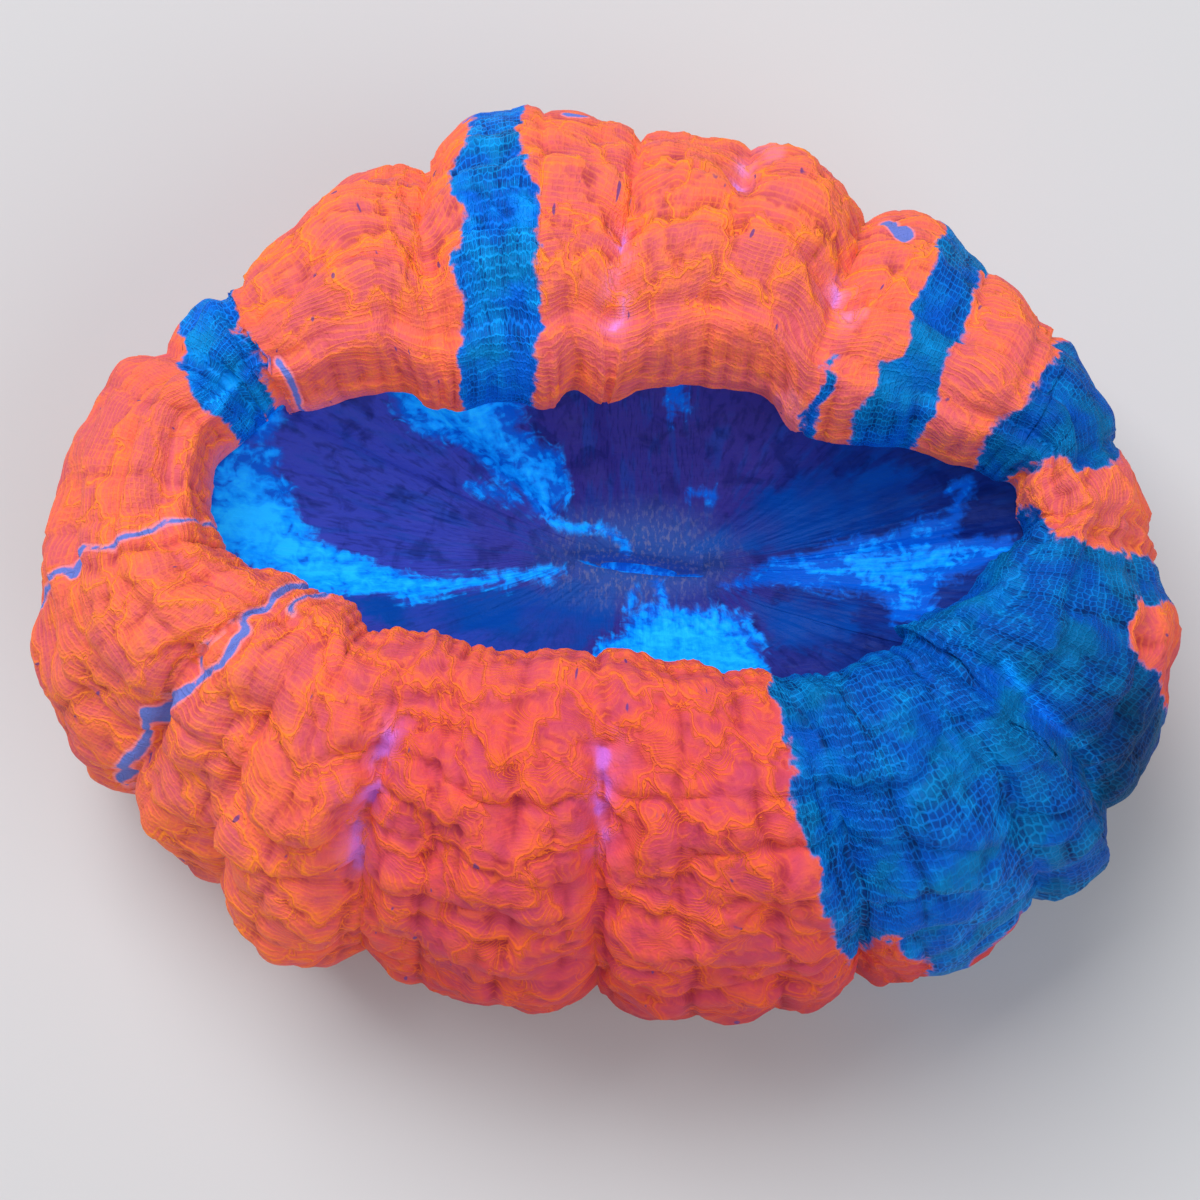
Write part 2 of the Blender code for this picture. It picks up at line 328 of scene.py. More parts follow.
def to_segments(plan: Grid, path: tuple[Point, ...]) -> Grid:
    """The distance in plan from each point to an open path.

    Args:
        plan: The points, in millimetres.
        path: The path's corners in order.

    Returns:
        One distance for each point, in millimetres.
    """
    nearest = np.full(plan.shape[:-1], math.inf)
    for start, end in zip(path, path[1:]):
        start, run = np.array(start), np.subtract(end, start)
        share = np.clip(((plan - start) @ run) / (run @ run), 0.0, 1.0)
        gap = np.linalg.norm(plan - start - share[..., None] * run, axis=-1)
        nearest = np.minimum(nearest, gap)
    return nearest


@dataclass(frozen=True)
class Patch:
    """A patch of coloured tissue, drawn in plan.

    Attributes:
        outline: Its corners in order, in millimetres from the coral's middle.
        tone: How bright it is.
    """

    outline: tuple[Point, ...]
    tone: float = 1.0

    def depth(self, plan: Grid) -> Grid:
        """How deep in the patch points lie.

        Args:
            plan: The points, in millimetres.

        Returns:
            How far inside the patch each point is, in millimetres, and negative outside.
        """
        closed = self.outline + self.outline[:1]
        inside = np.zeros(plan.shape[:-1], bool)
        x, y = plan[..., 0], plan[..., 1]
        for (ax, ay), (bx, by) in zip(closed, closed[1:]):
            if ay != by:
                crosses = (ay > y) != (by > y)
                inside ^= crosses & (x < (bx - ax) * (y - ay) / (by - ay) + ax)
        return np.where(inside, 1.0, -1.0) * to_segments(plan, closed)


@dataclass(frozen=True)
class Streak:
    """A thin streak of coloured tissue, drawn in plan.

    Attributes:
        path: Its points in order, in millimetres from the coral's middle.
        half_width: Half its width in millimetres.
    """

    path: tuple[Point, ...]
    half_width: float

    def depth(self, plan: Grid) -> Grid:
        """How far inside the streak each point is, in millimetres, negative outside."""
        return self.half_width - to_segments(plan, self.path)


def deepest(plan: Grid, marks: tuple) -> Grid:
    """How far inside any of the marks each point is, in millimetres."""
    return np.max([mark.depth(plan) for mark in marks], axis=0)


# ---------------------------------------------------------------------------------------------
# The form that every piece is cut from
# ---------------------------------------------------------------------------------------------


@dataclass(frozen=True)
class Lobe:
    """One lobe of the flesh, which starts at a radial crease.

    Attributes:
        crease_in: The crease's end on the lip.
        crease_out: Its end on the rim.
        depths: The crease's depth at both ends.
        lip: A point of the lip at the lobe's middle.
        rim: A point of the rim at the lobe's middle.
        lift: How much higher than the others its crown stands.
    """

    crease_in: Point
    crease_out: Point
    depths: tuple[float, float]
    lip: Point
    rim: Point
    lift: float


@dataclass(frozen=True)
class Bump:
    """A swelling of the flesh, or a pit in it.

    Attributes:
        start: One end of the line that it is drawn out along, seen from above.
        end: The line's other end.
        reach: How far it reaches from the line.
        height: How high it stands, below zero for a pit.
    """

    start: Point
    end: Point
    reach: float
    height: float

    def near(self, plan: Grid) -> Grid:
        """How near each point is to the line, from 0 to 1."""
        return np.exp(-((to_segments(plan, (self.start, self.end)) / self.reach) ** 2))


@dataclass(frozen=True)
class Ring:
    """A stretch of the flesh as a grid of spokes by rings, in millimetres.

    Attributes:
        base: The grid before its relief.
        grid: The grid with its lobes, lumps and ledges.
        along: How far along the section each ring is.
        raised: How far up each ring is, from 0 low on the flank to 1 at the crown.
        front: How strongly each point's relief stands out.
    """

    base: Grid
    grid: Grid
    along: Grid
    raised: Grid
    front: Grid


@dataclass(frozen=True)
class CoralForm:
    """The coral's shape, in millimetres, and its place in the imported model's box.

    Attributes:
        low: The box's lowest corner, in metres.
        high: Its highest corner, in metres.
        lobes: The flesh's lobes in order, from the right over the back to the left and the front.
        crease_reach: How far beside its line a crease still draws the flesh in.
        crease_growth: How late on the way to the rim a crease takes its outer depth.
        crease_wander: How far the creases wander from their lines.
        wander_size: How long a stretch of that wandering is.
        rim_share: How much of a crease's depth is given back to the rim's outline.
        lobe_puff: How far a lobe swells out between its creases.
        lip_set_back: How far the lip is set back at a lobe's middle.
        section: The ring's section, each point a share of the way from lip to rim and a height.
        widest: The number of the section's widest point.
        typical_ring: The way from lip to rim that the section's length is measured on.
        relief_rise: The heights where the flesh's relief starts and where it is full.
        disc_section: The disc's section, each point a share of the way from mouth to lip and a
            height.
        typical_disc: The way from mouth to lip that its length is measured on.
        mouth_centre: The mouth's middle.
        mouth_half: Half the mouth's length and width.
        mouth_floor: The height of the mouth's bottom.
        mouth_turn: How far the mouth is turned, in radians.
        disc_half: Half the disc's length and width, by which its rays are spread.
        foot_top: Half the foot's length and width at its top.
        foot_bottom: The same at its cut.
        foot_centre: The foot's middle.
        foot_top_height: Where the foot meets the flesh.
        foot_waist: How far the foot is drawn in halfway down.
        foot_ribs: How many ribs stand round it.
        foot_rib_height: How far they stand out.
        lump_size: How large the flesh's lumps are.
        lump_height: How high they stand.
        ledge_start: How far along the section the first ledge starts.
        ledge_spacing: How far apart the ledges are.
        ledge_height: How high they stand.
        waver_size: How long a stretch of the ledges' wavering is.
        smooth_lip: How far along the section the lumps and ledges start, and where they are full.
        middle_relief: How strongly the relief stands out on the line from side to side.
        front_span: Over how many millimetres towards the front that grows by 1.
        relief_limits: The least and the most that it comes to.
        relief_at_rim: What the relief adds to the rim, which the outline leaves room for.
        bumps: The flesh's single swellings and pits.
        disc_pleats: How many pleats run out over the disc.
        disc_pleat_height: How high they stand.
        disc_swell: How high the disc's broad swellings stand.
        disc_swell_size: How large they are.
    """

    low: Place
    high: Place

    lobes: tuple[Lobe, ...] = (
        Lobe((30.5, -1.0), (45.4, -0.6), (0.3, 0.4), (31.5, 0.5), (45.4, 3.2), -1.6),
        Lobe((31.5, 2.0), (42.5, 9.5), (0.5, 1.3), (31.0, 3.5), (40.6, 14.6), -0.8),
        Lobe((29.5, 4.5), (37.5, 19.6), (0.5, 1.2), (27.0, 5.0), (35.9, 21.6), -0.6),
        Lobe((24.0, 6.5), (31.9, 25.0), (0.3, 0.8), (19.5, 6.5), (27.7, 29.9), 0.0),
        Lobe((15.0, 8.0), (22.4, 29.9), (1.2, 2.4), (12.0, 10.0), (17.9, 33.1), 1.2),
        Lobe((7.5, 11.0), (12.6, 35.4), (0.0, 0.3), (4.0, 10.5), (7.9, 35.7), 1.6),
        Lobe((0.5, 10.0), (3.6, 36.4), (1.0, 1.8), (-2.0, 10.0), (0.5, 38.3), 1.4),
        Lobe((-4.0, 9.5), (-4.5, 38.9), (0.2, 0.5), (-8.0, 9.5), (-8.6, 38.4), 1.2),
        Lobe((-12.0, 9.5), (-14.2, 33.6), (0.9, 1.2), (-16.0, 10.5), (-19.0, 32.7), 0.4),
        Lobe((-23.0, 9.5), (-29.1, 23.0), (0.4, 0.5), (-24.5, 9.0), (-32.4, 22.3), -0.5),
        Lobe((-26.0, 8.5), (-36.3, 16.6), (0.6, 1.3), (-29.0, 5.0), (-41.7, 12.3), -1.0),
        Lobe((-29.0, 0.5), (-45.4, -0.8), (0.3, 0.5), (-26.5, -2.0), (-44.2, -12.3), -0.8),
        Lobe((-22.0, -4.0), (-37.6, -18.6), (0.6, 1.8), (-20.0, -4.5), (-36.0, -22.7), -0.2),
        Lobe((-18.5, -5.5), (-30.6, -25.5), (0.1, 1.7), (-16.5, -7.5), (-26.0, -31.5), 0.4),
        Lobe((-13.0, -8.0), (-19.0, -31.1), (0.3, 2.4), (-7.5, -9.0), (-11.2, -34.0), 1.0),
        Lobe((-0.5, -9.5), (-0.5, -34.3), (0.5, 2.7), (6.5, -10.0), (10.6, -35.8), 1.2),
        Lobe((13.5, -11.0), (20.8, -32.8), (0.2, 1.8), (16.5, -10.5), (26.0, -32.6), 0.8),
        Lobe((21.6, -8.8), (35.0, -26.8), (0.4, 1.1), (22.1, -7.9), (41.9, -25.0), 0.0),
        Lobe((22.5, -7.0), (41.2, -19.6), (0.6, 3.2), (26.0, -5.0), (46.2, -12.0), -0.6),
    )
    crease_reach: float = 2.2
    crease_growth: float = 1.3
    crease_wander: float = 1.0
    wander_size: float = 11.0
    rim_share: float = 0.6
    lobe_puff: float = 0.9
    lip_set_back: float = 0.3

    section: tuple[Point, ...] = (
        (0.05, 30.2),
        (-0.01, 32.6),
        (0.01, 35.4),
        (0.09, 38.2),
        (0.23, 39.9),
        (0.42, 39.3),
        (0.60, 36.4),
        (0.77, 31.4),
        (0.91, 25.0),
        (0.99, 17.8),
        (0.99, 11.6),
        (0.93, 7.4),
        (0.83, 6.0),
        (0.72, 7.6),
        (0.62, 9.6),
    )
    widest: int = 9
    typical_ring: float = 24.0
    relief_rise: Point = (12.0, 36.0)

    disc_section: tuple[Point, ...] = (
        (0.00, 23.4),
        (0.07, 24.5),
        (0.16, 23.9),
        (0.30, 23.7),
        (0.50, 24.8),
        (0.70, 26.6),
        (0.86, 28.4),
        (1.00, 30.2),
    )
    typical_disc: float = 14.0
    mouth_centre: Point = (3.1, -0.4)
    mouth_half: Point = (5.6, 0.75)
    mouth_floor: float = 21.6
    mouth_turn: float = math.radians(-7.0)
    disc_half: Point = (30.0, 10.0)

    foot_top: Point = (24.5, 18.0)
    foot_bottom: Point = (20.5, 15.0)
    foot_centre: Point = (0.0, -1.0)
    foot_top_height: float = 9.4
    foot_waist: float = 0.8
    foot_ribs: int = 28
    foot_rib_height: float = 0.45

    lump_size: float = 7.0
    lump_height: float = 0.8
    ledge_start: float = 5.5
    ledge_spacing: float = 6.0
    ledge_height: float = 1.1
    waver_size: float = 10.0
    smooth_lip: Point = (4.0, 12.0)
    middle_relief: float = 0.7
    front_span: float = 50.0
    relief_limits: Point = (0.5, 1.2)
    relief_at_rim: float = 1.0
    bumps: tuple[Bump, ...] = (
        Bump((1.0, 14.5), (1.7, 21.0), 1.6, -1.2),
        Bump((17.7, 15.0), (17.7, 18.0), 1.6, -1.2),
        Bump((10.4, 25.7), (11.2, 29.0), 1.4, -1.0),
        Bump((-15.0, -15.6), (-18.1, -23.7), 1.6, -1.2),
        Bump((0.4, -16.7), (-0.2, -22.7), 1.6, -1.2),
        Bump((6.0, 25.5), (6.4, 30.0), 3.4, 0.9),
        Bump((15.2, 23.5), (15.6, 28.5), 3.4, 1.0),
        Bump((5.4, 20.2), (7.6, 20.0), 2.2, 0.7),
        Bump((11.4, 21.4), (12.6, 20.4), 2.2, 0.9),
        Bump((-8.0, 24.0), (-8.0, 32.0), 4.0, 0.7),
        Bump((-23.5, 17.5), (-21.5, 23.5), 3.6, 0.7),
    )
    disc_pleats: int = 26
    disc_pleat_height: float = 0.12
    disc_swell: float = 0.9
    disc_swell_size: float = 9.0

    @cached_property
    def curves(self) -> tuple[Grid, Grid]:
        """The lip and the rim before their relief, with two points to a lobe."""
        lip, rim = [], []
        for lobe in self.lobes:
            for inner, outer, (drop_in, drop_out) in (
                (lobe.crease_in, lobe.crease_out, lobe.depths),
                (lobe.lip, lobe.rim, (-self.lip_set_back, -self.lobe_puff)),
            ):
                ends = np.array([inner, outer])
                along = (ends[1] - ends[0]) / np.linalg.norm(ends[1] - ends[0])
                lip.append(ends[0] - along * drop_in)
                rim.append(ends[1] + along * (self.rim_share * drop_out - self.relief_at_rim))
        return np.array(lip), np.array(rim)

    def places(self, spacing: float) -> Grid:
        """Where the spokes stand, one of them on every crease.

        Args:
            spacing: About how far apart they are, in millimetres.

        Returns:
            The place of each spoke, counted in lobes from the first crease.
        """
        lip, rim = self.curves
        middle = (lip + 2 * rim) / 3
        steps = np.linalg.norm(np.roll(middle, -1, axis=0) - middle, axis=1)
        found = []
        for lobe, length in enumerate(steps[0::2] + steps[1::2]):
            count = max(3, round(length / spacing))
            found += [lobe + step / count for step in range(count)]
        return np.array(found)

    def ring(self, spacing: float, crown: int, skirt: int, drop: float = 4.0) -> Ring:
        """The ring of flesh with its lobes, lumps and ledges.

        Args:
            spacing: How far apart its spokes are.
            crown: Rings from the lip over the crown to the widest place.
            skirt: Rings from there to the end of the underside.
            drop: How sharply the ledges drop.

        Returns:
            The ring, in the form's own millimetres.
        """
        places = self.places(spacing)
        lip, rim = (closed_curve(curve, 2 * places) for curve in self.curves)
        stretches = ((self.widest, crown), (len(self.section) - 1, skirt))
        section, along = stations(self.section, self.typical_ring, stretches)
        lifts = np.array([[lobe.lift] for lobe in self.lobes])
        lift = closed_curve(lifts, (places - 0.5) % len(self.lobes))
        share, height = section[:, 0], section[:, 1]
        level = lip[:, None] + (rim - lip)[:, None] * share[None, :, None]
        raised = ramp(height, *self.relief_rise)
        base = np.dstack([level, height + lift * raised])
        out = normals_of(base)
        grid = base + out * self.creases(places, base, share)[:, :, None]
        folds, front = self.folds(grid, along, raised, drop)
        bumps = sum(bump.height * bump.near(grid[:, :, :2]) for bump in self.bumps)
        bumps = bumps * (grid[:, :, 2] > self.mouth_floor)
        grid = grid + out * (folds + bumps)[:, :, None]
        grid = grid + self.drift(grid) * (self.crease_wander * raised)[:, None]
        return Ring(base, grid, along, raised, front)

    def near_crease(self, places: Grid, grid: Grid) -> Grid:
        """How near the creases are.

        Args:
            places: Where each spoke stands, counted in lobes.
            grid: The ring's points.

        Returns:
            How far each spoke is from each lobe's crease, in millimetres.
        """
        count = len(self.lobes)
        middle = grid[:, grid.shape[1] // 3, :2]
        steps = np.roll(middle, -1, axis=0) - np.roll(middle, 1, axis=0)
        turns = (np.roll(places, -1) - np.roll(places, 1)) % count
        scale = np.linalg.norm(steps, axis=1) / turns
        off = (places[:, None] - np.arange(count) + count / 2) % count - count / 2
        return np.abs(off) * scale[:, None]

    def creases(self, places: Grid, grid: Grid, share: Grid) -> Grid:
        """How far the creases draw the flesh in and the lobes swell out.

        Args:
            places: Where each spoke stands, counted in lobes.
            grid: The ring's points.
            share: Each ring's place from the lip, at 0, to the rim, at 1.

        Returns:
            How far out each point moves, in millimetres.
        """
        outward = np.clip(share, 0.0, 1.0) ** self.crease_growth
        away = self.near_crease(places, grid)
        relief = np.zeros(grid.shape[:2])
        for number, lobe in enumerate(self.lobes):
            inner, outer = lobe.depths
            depth = inner + (outer - inner) * outward
            relief -= depth * np.exp(-away[:, number, None] / self.crease_reach)
        inside = (places % 1.0)[:, None]
        swell = np.sqrt(np.clip(4 * inside * (1 - inside), 0.0, 1.0))
        return relief + self.lobe_puff * swell * outward

    def folds(self, grid: Grid, along: Grid, raised: Grid, drop: float) -> tuple[Grid, Grid]:
        """The lumps and ledges, which are bolder in front.

        Args:
            grid: The ring's points.
            along: How far along the section each ring is.
            raised: How far up each ring is, from 0 low on the flank to 1 at the crown.
            drop: How sharply the ledges drop.

        Returns:
            How far out each point moves in millimetres, and how strongly its relief stands out.
        """
        small_lumps = noise_at(grid, self.lump_size / 2, shift=17.0)
        lumps = 2.0 * noise_at(grid, self.lump_size) + small_lumps
        front = self.middle_relief - grid[:, :, 1] / self.front_span
        front = np.clip(front, *self.relief_limits)
        waver = (1.2 * front - 0.3) * noise_at(grid, self.waver_size, shift=31.0)
        step = ((along - self.ledge_start) / self.ledge_spacing + waver) % 1.0
        ledges = 1.6 * step * (1.0 - step**drop)
        away_from_lip = ramp(along, *self.smooth_lip)
        ledges = self.ledge_height * ledges * (1.2 - 0.4 * front)
        height = self.lump_height * lumps * front + ledges
        return height * away_from_lip * (0.4 + 0.6 * raised), front

    def pitted(self, plan: Grid) -> Grid:
        """How near each point is to a pit's line, from 0 to 1."""
        pits = [bump for bump in self.bumps if bump.height < 0]
        return np.max([pit.near(plan) for pit in pits], axis=0)

    def drift(self, grid: Grid) -> Grid:
        """A drift along the rings that lets the creases wander.

        Args:
            grid: The ring's points.

        Returns:
            The way that each point drifts, up to about 1 millimetre long.
        """
        around = np.roll(grid, -1, axis=0) - np.roll(grid, 1, axis=0)
        around /= np.linalg.norm(around, axis=2, keepdims=True)
        return around * noise_at(grid, self.wander_size, shift=53.0)[:, :, None]

    def disc(self, rim: Grid, rings: int) -> tuple[Grid, Grid, Grid]:
        """The sunken disc, from the mouth's edge to the flesh's first ring.

        Args:
            rim: The flesh's first ring.
            rings: Rings from the mouth to the rim.

        Returns:
            The grid, the way round the mouth of each spoke, and each ring's share of the way out.
        """
        centre = np.array(self.mouth_centre)
        offset = (rim[:, :2] - centre) / self.disc_half
        turn = np.arctan2(offset[:, 1], offset[:, 0])
        oval = np.stack([np.cos(turn), np.sin(turn)], axis=1) * self.mouth_half
        c, s = math.cos(self.mouth_turn), math.sin(self.mouth_turn)
        mouth = oval @ np.array([[c, s], [-s, c]]) + centre
        stretches = ((len(self.disc_section) - 1, rings),)
        section = stations(self.disc_section, self.typical_disc, stretches)[0]
        share, height = section[:, 0], section[:, 1]
        level = mouth[:, None] + (rim[:, None, :2] - mouth[:, None]) * share[None, :, None]
        rise = (rim[:, 2] - self.disc_section[-1][1])[:, None] * share
        pleats = np.sin(self.disc_pleats * turn + 0.8 * np.sin(3 * turn))[:, None]
        flat = np.dstack([level, np.zeros(level.shape[:2])])
        swell = noise_at(flat, self.disc_swell_size, shift=11.0)
        relief = self.disc_pleat_height * pleats + self.disc_swell * swell
        height = height + rise + relief * share**2 * (1 - share) * 5
        return np.dstack([level, height]), turn, share

    @cached_property
    def reach(self) -> tuple[Grid, Grid]:
        """The form's lowest and highest corner in its own millimetres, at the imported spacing."""
        grid = self.ring(spacing=2.15, crown=23, skirt=5).grid
        low, high = grid.min(axis=(0, 1)), grid.max(axis=(0, 1))
        return np.array([low[0], low[1], 0.0]), high

    def in_box(self, grid: Grid) -> Grid:
        """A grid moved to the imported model's place.

        Args:
            grid: Points in the form's millimetres.

        Returns:
            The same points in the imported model's metres.
        """
        low, high = self.reach
        share = (grid - low) / (high - low)
        return np.array(self.low) + share * np.subtract(self.high, self.low)


# ---------------------------------------------------------------------------------------------
# Meshes
# ---------------------------------------------------------------------------------------------


@dataclass(frozen=True)
class Shell:
    """A closed mesh shaped from a grid of spokes by rings.

    Attributes:
        name: The piece's name.
        grid: Its points in metres.
        looped: Whether its last ring joins its first, and not a fan at each end.
    """

    name: str
    grid: Grid
    looped: bool

    def blank(self) -> bmesh.types.BMesh:
        """A flat turned blank with a ring for each ring of the grid."""
        spokes, rings = self.grid.shape[:2]
        work = bmesh.new()
        line = [work.verts.new((ring + 1.0, 0.0, 0.0)) for ring in range(rings)]
        for inner, outer in zip(line, line[1:] + line[: int(self.looped)]):
            work.edges.new((inner, outer))
        bmesh.ops.spin(
            work,
            geom=work.verts[:] + work.edges[:],
            cent=(0.0, 0.0, 0.0),
            axis=(0.0, 0.0, 1.0),
            angle=2 * math.pi,
            steps=spokes,
            use_merge=True,
        )
        if not self.looped:
            rims = [edge for edge in work.edges if edge.is_boundary]
            caps = bmesh.ops.holes_fill(work, edges=rims, sides=0)["faces"]
            for pole in bmesh.ops.poke(work, faces=caps)["verts"]:
                outer = pole.link_edges[0].other_vert(pole).co.length > rings / 2
                pole.co = (0.0, 0.0, 1.0 if outer else 0.0)
        return work

    def build(
        self, values: dict[Layer, Grid], net: tuple[Grid, Grid] | None = None
    ) -> bpy.types.Object:
        """The finished piece.

        Args:
            values: What each point carries for the finish, by layer.
            net: For a finish that follows the surface, how far round each spoke is, with one
                more for the seam, and the distance along the section at each point.

        Returns:
            The new object, at the origin, with its place in its mesh.
        """
        spokes, rings = self.grid.shape[:2]
        mesh = bpy.data.meshes.new(self.name)
        work = self.blank()
        work.to_mesh(mesh)
        work.free()
        flat = np.empty(len(mesh.vertices) * 3, np.float32)
        mesh.vertices.foreach_get("co", flat)
        x, y, z = flat.reshape(-1, 3).T
        ring = np.rint(np.hypot(x, y)).astype(int) - 1
        spoke = np.rint(np.arctan2(y, x) * spokes / (2 * math.pi)).astype(int) % spokes
        placed = self.grid[spoke, ring]
        poles = ring < 0
        ring = np.where(poles, np.where(z > 0.5, rings - 1, 0), ring)
        placed[poles] = self.grid.mean(axis=0)[ring[poles]]
        mesh.vertices.foreach_set("co", placed.astype(np.float32).ravel())
        for layer, value in values.items():
            carried = mesh.attributes.new(layer.value, "FLOAT", "POINT")
            carried.data.foreach_set("value", value[spoke, ring].astype(np.float32))
        if net is not None:
            self.lay_net(mesh, spoke, ring, net)
        work = bmesh.new()
        work.from_mesh(mesh)
        bmesh.ops.recalc_face_normals(work, faces=work.faces[:])
        work.to_mesh(mesh)
        work.free()
        mesh.shade_smooth()
        piece = bpy.data.objects.new(self.name, mesh)
        bpy.context.scene.collection.objects.link(piece)
        return piece

    def lay_net(
        self, mesh: bpy.types.Mesh, spoke: Grid, ring: Grid, net: tuple[Grid, Grid]
    ) -> None:
        """Lays the net's map on a mesh, so that it meets at the seam.

        Args:
            mesh: The piece's mesh.
            spoke: The number of each vertex's spoke.
            ring: The number of its ring.
            net: How far round each spoke is, and how far along each point is.
        """
        spokes = self.grid.shape[0]
        corners = np.empty(len(mesh.loops), np.int32)
        mesh.loops.foreach_get("vertex_index", corners)
        starts = np.empty(len(mesh.polygons), np.int32)
        mesh.polygons.foreach_get("loop_start", starts)
        sizes = np.diff(np.append(starts, len(corners)))
        round_at = spoke[corners]
        furthest = np.repeat(np.maximum.reduceat(round_at, starts), sizes)
        round_at = np.where((round_at == 0) & (furthest > spokes / 2), spokes, round_at)
        laid = np.stack([net[0][round_at], net[1][spoke[corners], ring[corners]]], axis=1)
        layer = mesh.uv_layers.new(name=Layer.NET.value)
        layer.uv.foreach_set("vector", laid.astype(np.float32).ravel())


# ---------------------------------------------------------------------------------------------
# Finishes
# ---------------------------------------------------------------------------------------------


@dataclass(frozen=True)
class Surface:
    """A finish's even values.

    Attributes:
        rough: How matt it is.
        shine: How strongly it mirrors.
        glow: How much of its own colour it gives off, a painted glow that lifts its shaded parts.
        relief: How deep its fine relief is, in millimetres.
    """

    rough: float
    shine: float
    glow: float = 0.0
    relief: float = 0.0


class Painter:
    """Adds nodes to a new material, one line to a node."""

    def __init__(self, name: str, surface: Surface) -> None:
        """Starts a material with a shader and nothing else.

        Args:
            name: The material's name.
            surface: The shader's even values.
        """
        self.material = bpy.data.materials.new(name)
        self.material.use_nodes = True
        self.tree = self.material.node_tree
        self.shader = self.tree.nodes["Principled BSDF"]
        self.relief = surface.relief
        even = self.shader.inputs
        even["Roughness"].default_value = surface.rough
        even["Specular IOR Level"].default_value = surface.shine
        # Emission is a painted glow: the surface gives off light of its own colour.
        even["Emission Strength"].default_value = surface.glow

    def join(self, value: Value, socket: Socket) -> None:
        """Links a socket to another, or sets it.

        Args:
            value: The other socket, or a number, colour or vector.
            socket: The socket to link or set.
        """
        if isinstance(value, Socket):
            self.tree.links.new(value, socket)
        elif isinstance(value, tuple) and len(socket.default_value) == 4:
            socket.default_value = (*value[:3], 1.0)
        else:
            socket.default_value = value

    def add(
        self, kind: str, inputs: dict[int | str, Value], output: int | str = 0, **options: object
    ) -> Socket:
        """Adds one node.

        Args:
            kind: The node's type.
            inputs: A value or socket for each input, by name or number.
            output: The output to return, by name or number.
            **options: The node's own settings.

        Returns:
            The output's socket.
        """
        node = self.tree.nodes.new(kind)
        for option, value in options.items():
            setattr(node, option, value)
        for key, value in inputs.items():
            self.join(value, node.inputs[key])
        return node.outputs[output]

    def sum(self, operation: str, *values: Value) -> Socket:
        """One step of arithmetic on up to three values."""
        inputs = dict(enumerate(values))
        return self.add("ShaderNodeMath", inputs, operation=operation)

    def times(self, *values: Value) -> Socket:
        """The product of two or more values."""
        product = values[0]
        for value in values[1:]:
            product = self.sum("MULTIPLY", product, value)
        return product

    def plus(self, *values: Value) -> Socket:
        """The sum of two or more values."""
        total = values[0]
        for value in values[1:]:
            total = self.sum("ADD", total, value)
        return total

    def vector(self, operation: str, *values: Value, output: int | str = 0) -> Socket:
        """One step of vector arithmetic."""
        inputs = dict(enumerate(values))
        return self.add("ShaderNodeVectorMath", inputs, output, operation=operation)

    def ease(self, value: Value, low: float, high: float) -> Socket:
        """0 below low, 1 above high and smooth between them."""
        inputs = {"Value": value, "From Min": low, "From Max": high}
        return self.add("ShaderNodeMapRange", inputs, interpolation_type="SMOOTHSTEP")

    def mix(self, share: Value, first: Value, second: Value) -> Socket:
        """A mix of two colours."""
        inputs = {0: share, 6: first, 7: second}
        return self.add("ShaderNodeMix", inputs, 2, data_type="RGBA", clamp_factor=True)

    def carried(self, layer: Layer) -> Socket:
        """What the mesh carries in one layer."""
        return self.add("ShaderNodeAttribute", {}, "Fac", attribute_name=layer.value)

    def net(self) -> tuple[Socket, Socket]:
        """How far round the net a point is, and how far out."""
        laid = self.add("ShaderNodeUVMap", {}, uv_map=Layer.NET.value)
        parts = self.tree.nodes.new("ShaderNodeSeparateXYZ")
        self.join(laid, parts.inputs[0])
        return parts.outputs[0], parts.outputs[1]

    def place(self) -> Socket:
        """The place on the object, in millimetres."""
        at = self.add("ShaderNodeTexCoord", {}, "Object")
        return self.vector("MULTIPLY", at, (1.0 / MM,) * 3)

    def grain(self, at: Value, size: float, detail: float = 2.0, swirl: float = 0.0) -> Socket:
        """Noise from 0 to 1.

        Args:
            at: Where to read it.
            size: How large its lumps are, in millimetres.
            detail: How many finer layers it has.
            swirl: How strongly it is twisted.

        Returns:
            The noise's socket.
        """
        inputs = {"Vector": at, "Scale": 1.0 / size, "Detail": detail, "Roughness": 0.55}
        return self.add("ShaderNodeTexNoise", inputs | {"Distortion": swirl})

    def lines(self, count: Value, half_width: float) -> Socket:
        """Thin lines at the whole numbers of a count.

        Args:
            count: The count, as a socket.
            half_width: Half a line's width, as a share of the spacing.

        Returns:
            A socket with 1 on the lines and 0 between them.
        """
        part = self.sum("FRACT", count)
        away = self.sum("ABSOLUTE", self.sum("SUBTRACT", part, 0.5))
        return self.ease(away, 0.5 - half_width, 0.5 - half_width * 0.25)

    def colour(self, colour: Value) -> None:
        """Gives the shader a colour, with the same colour for its faint painted glow."""
        self.join(colour, self.shader.inputs["Base Color"])
        self.join(colour, self.shader.inputs["Emission Color"])

    def bump(self, height: Value) -> None:
        """Gives the shader a fine relief."""
        inputs = {"Height": height, "Distance": self.relief * MM, "Strength": 1.0}
        self.join(self.add("ShaderNodeBump", inputs), self.shader.inputs["Normal"])


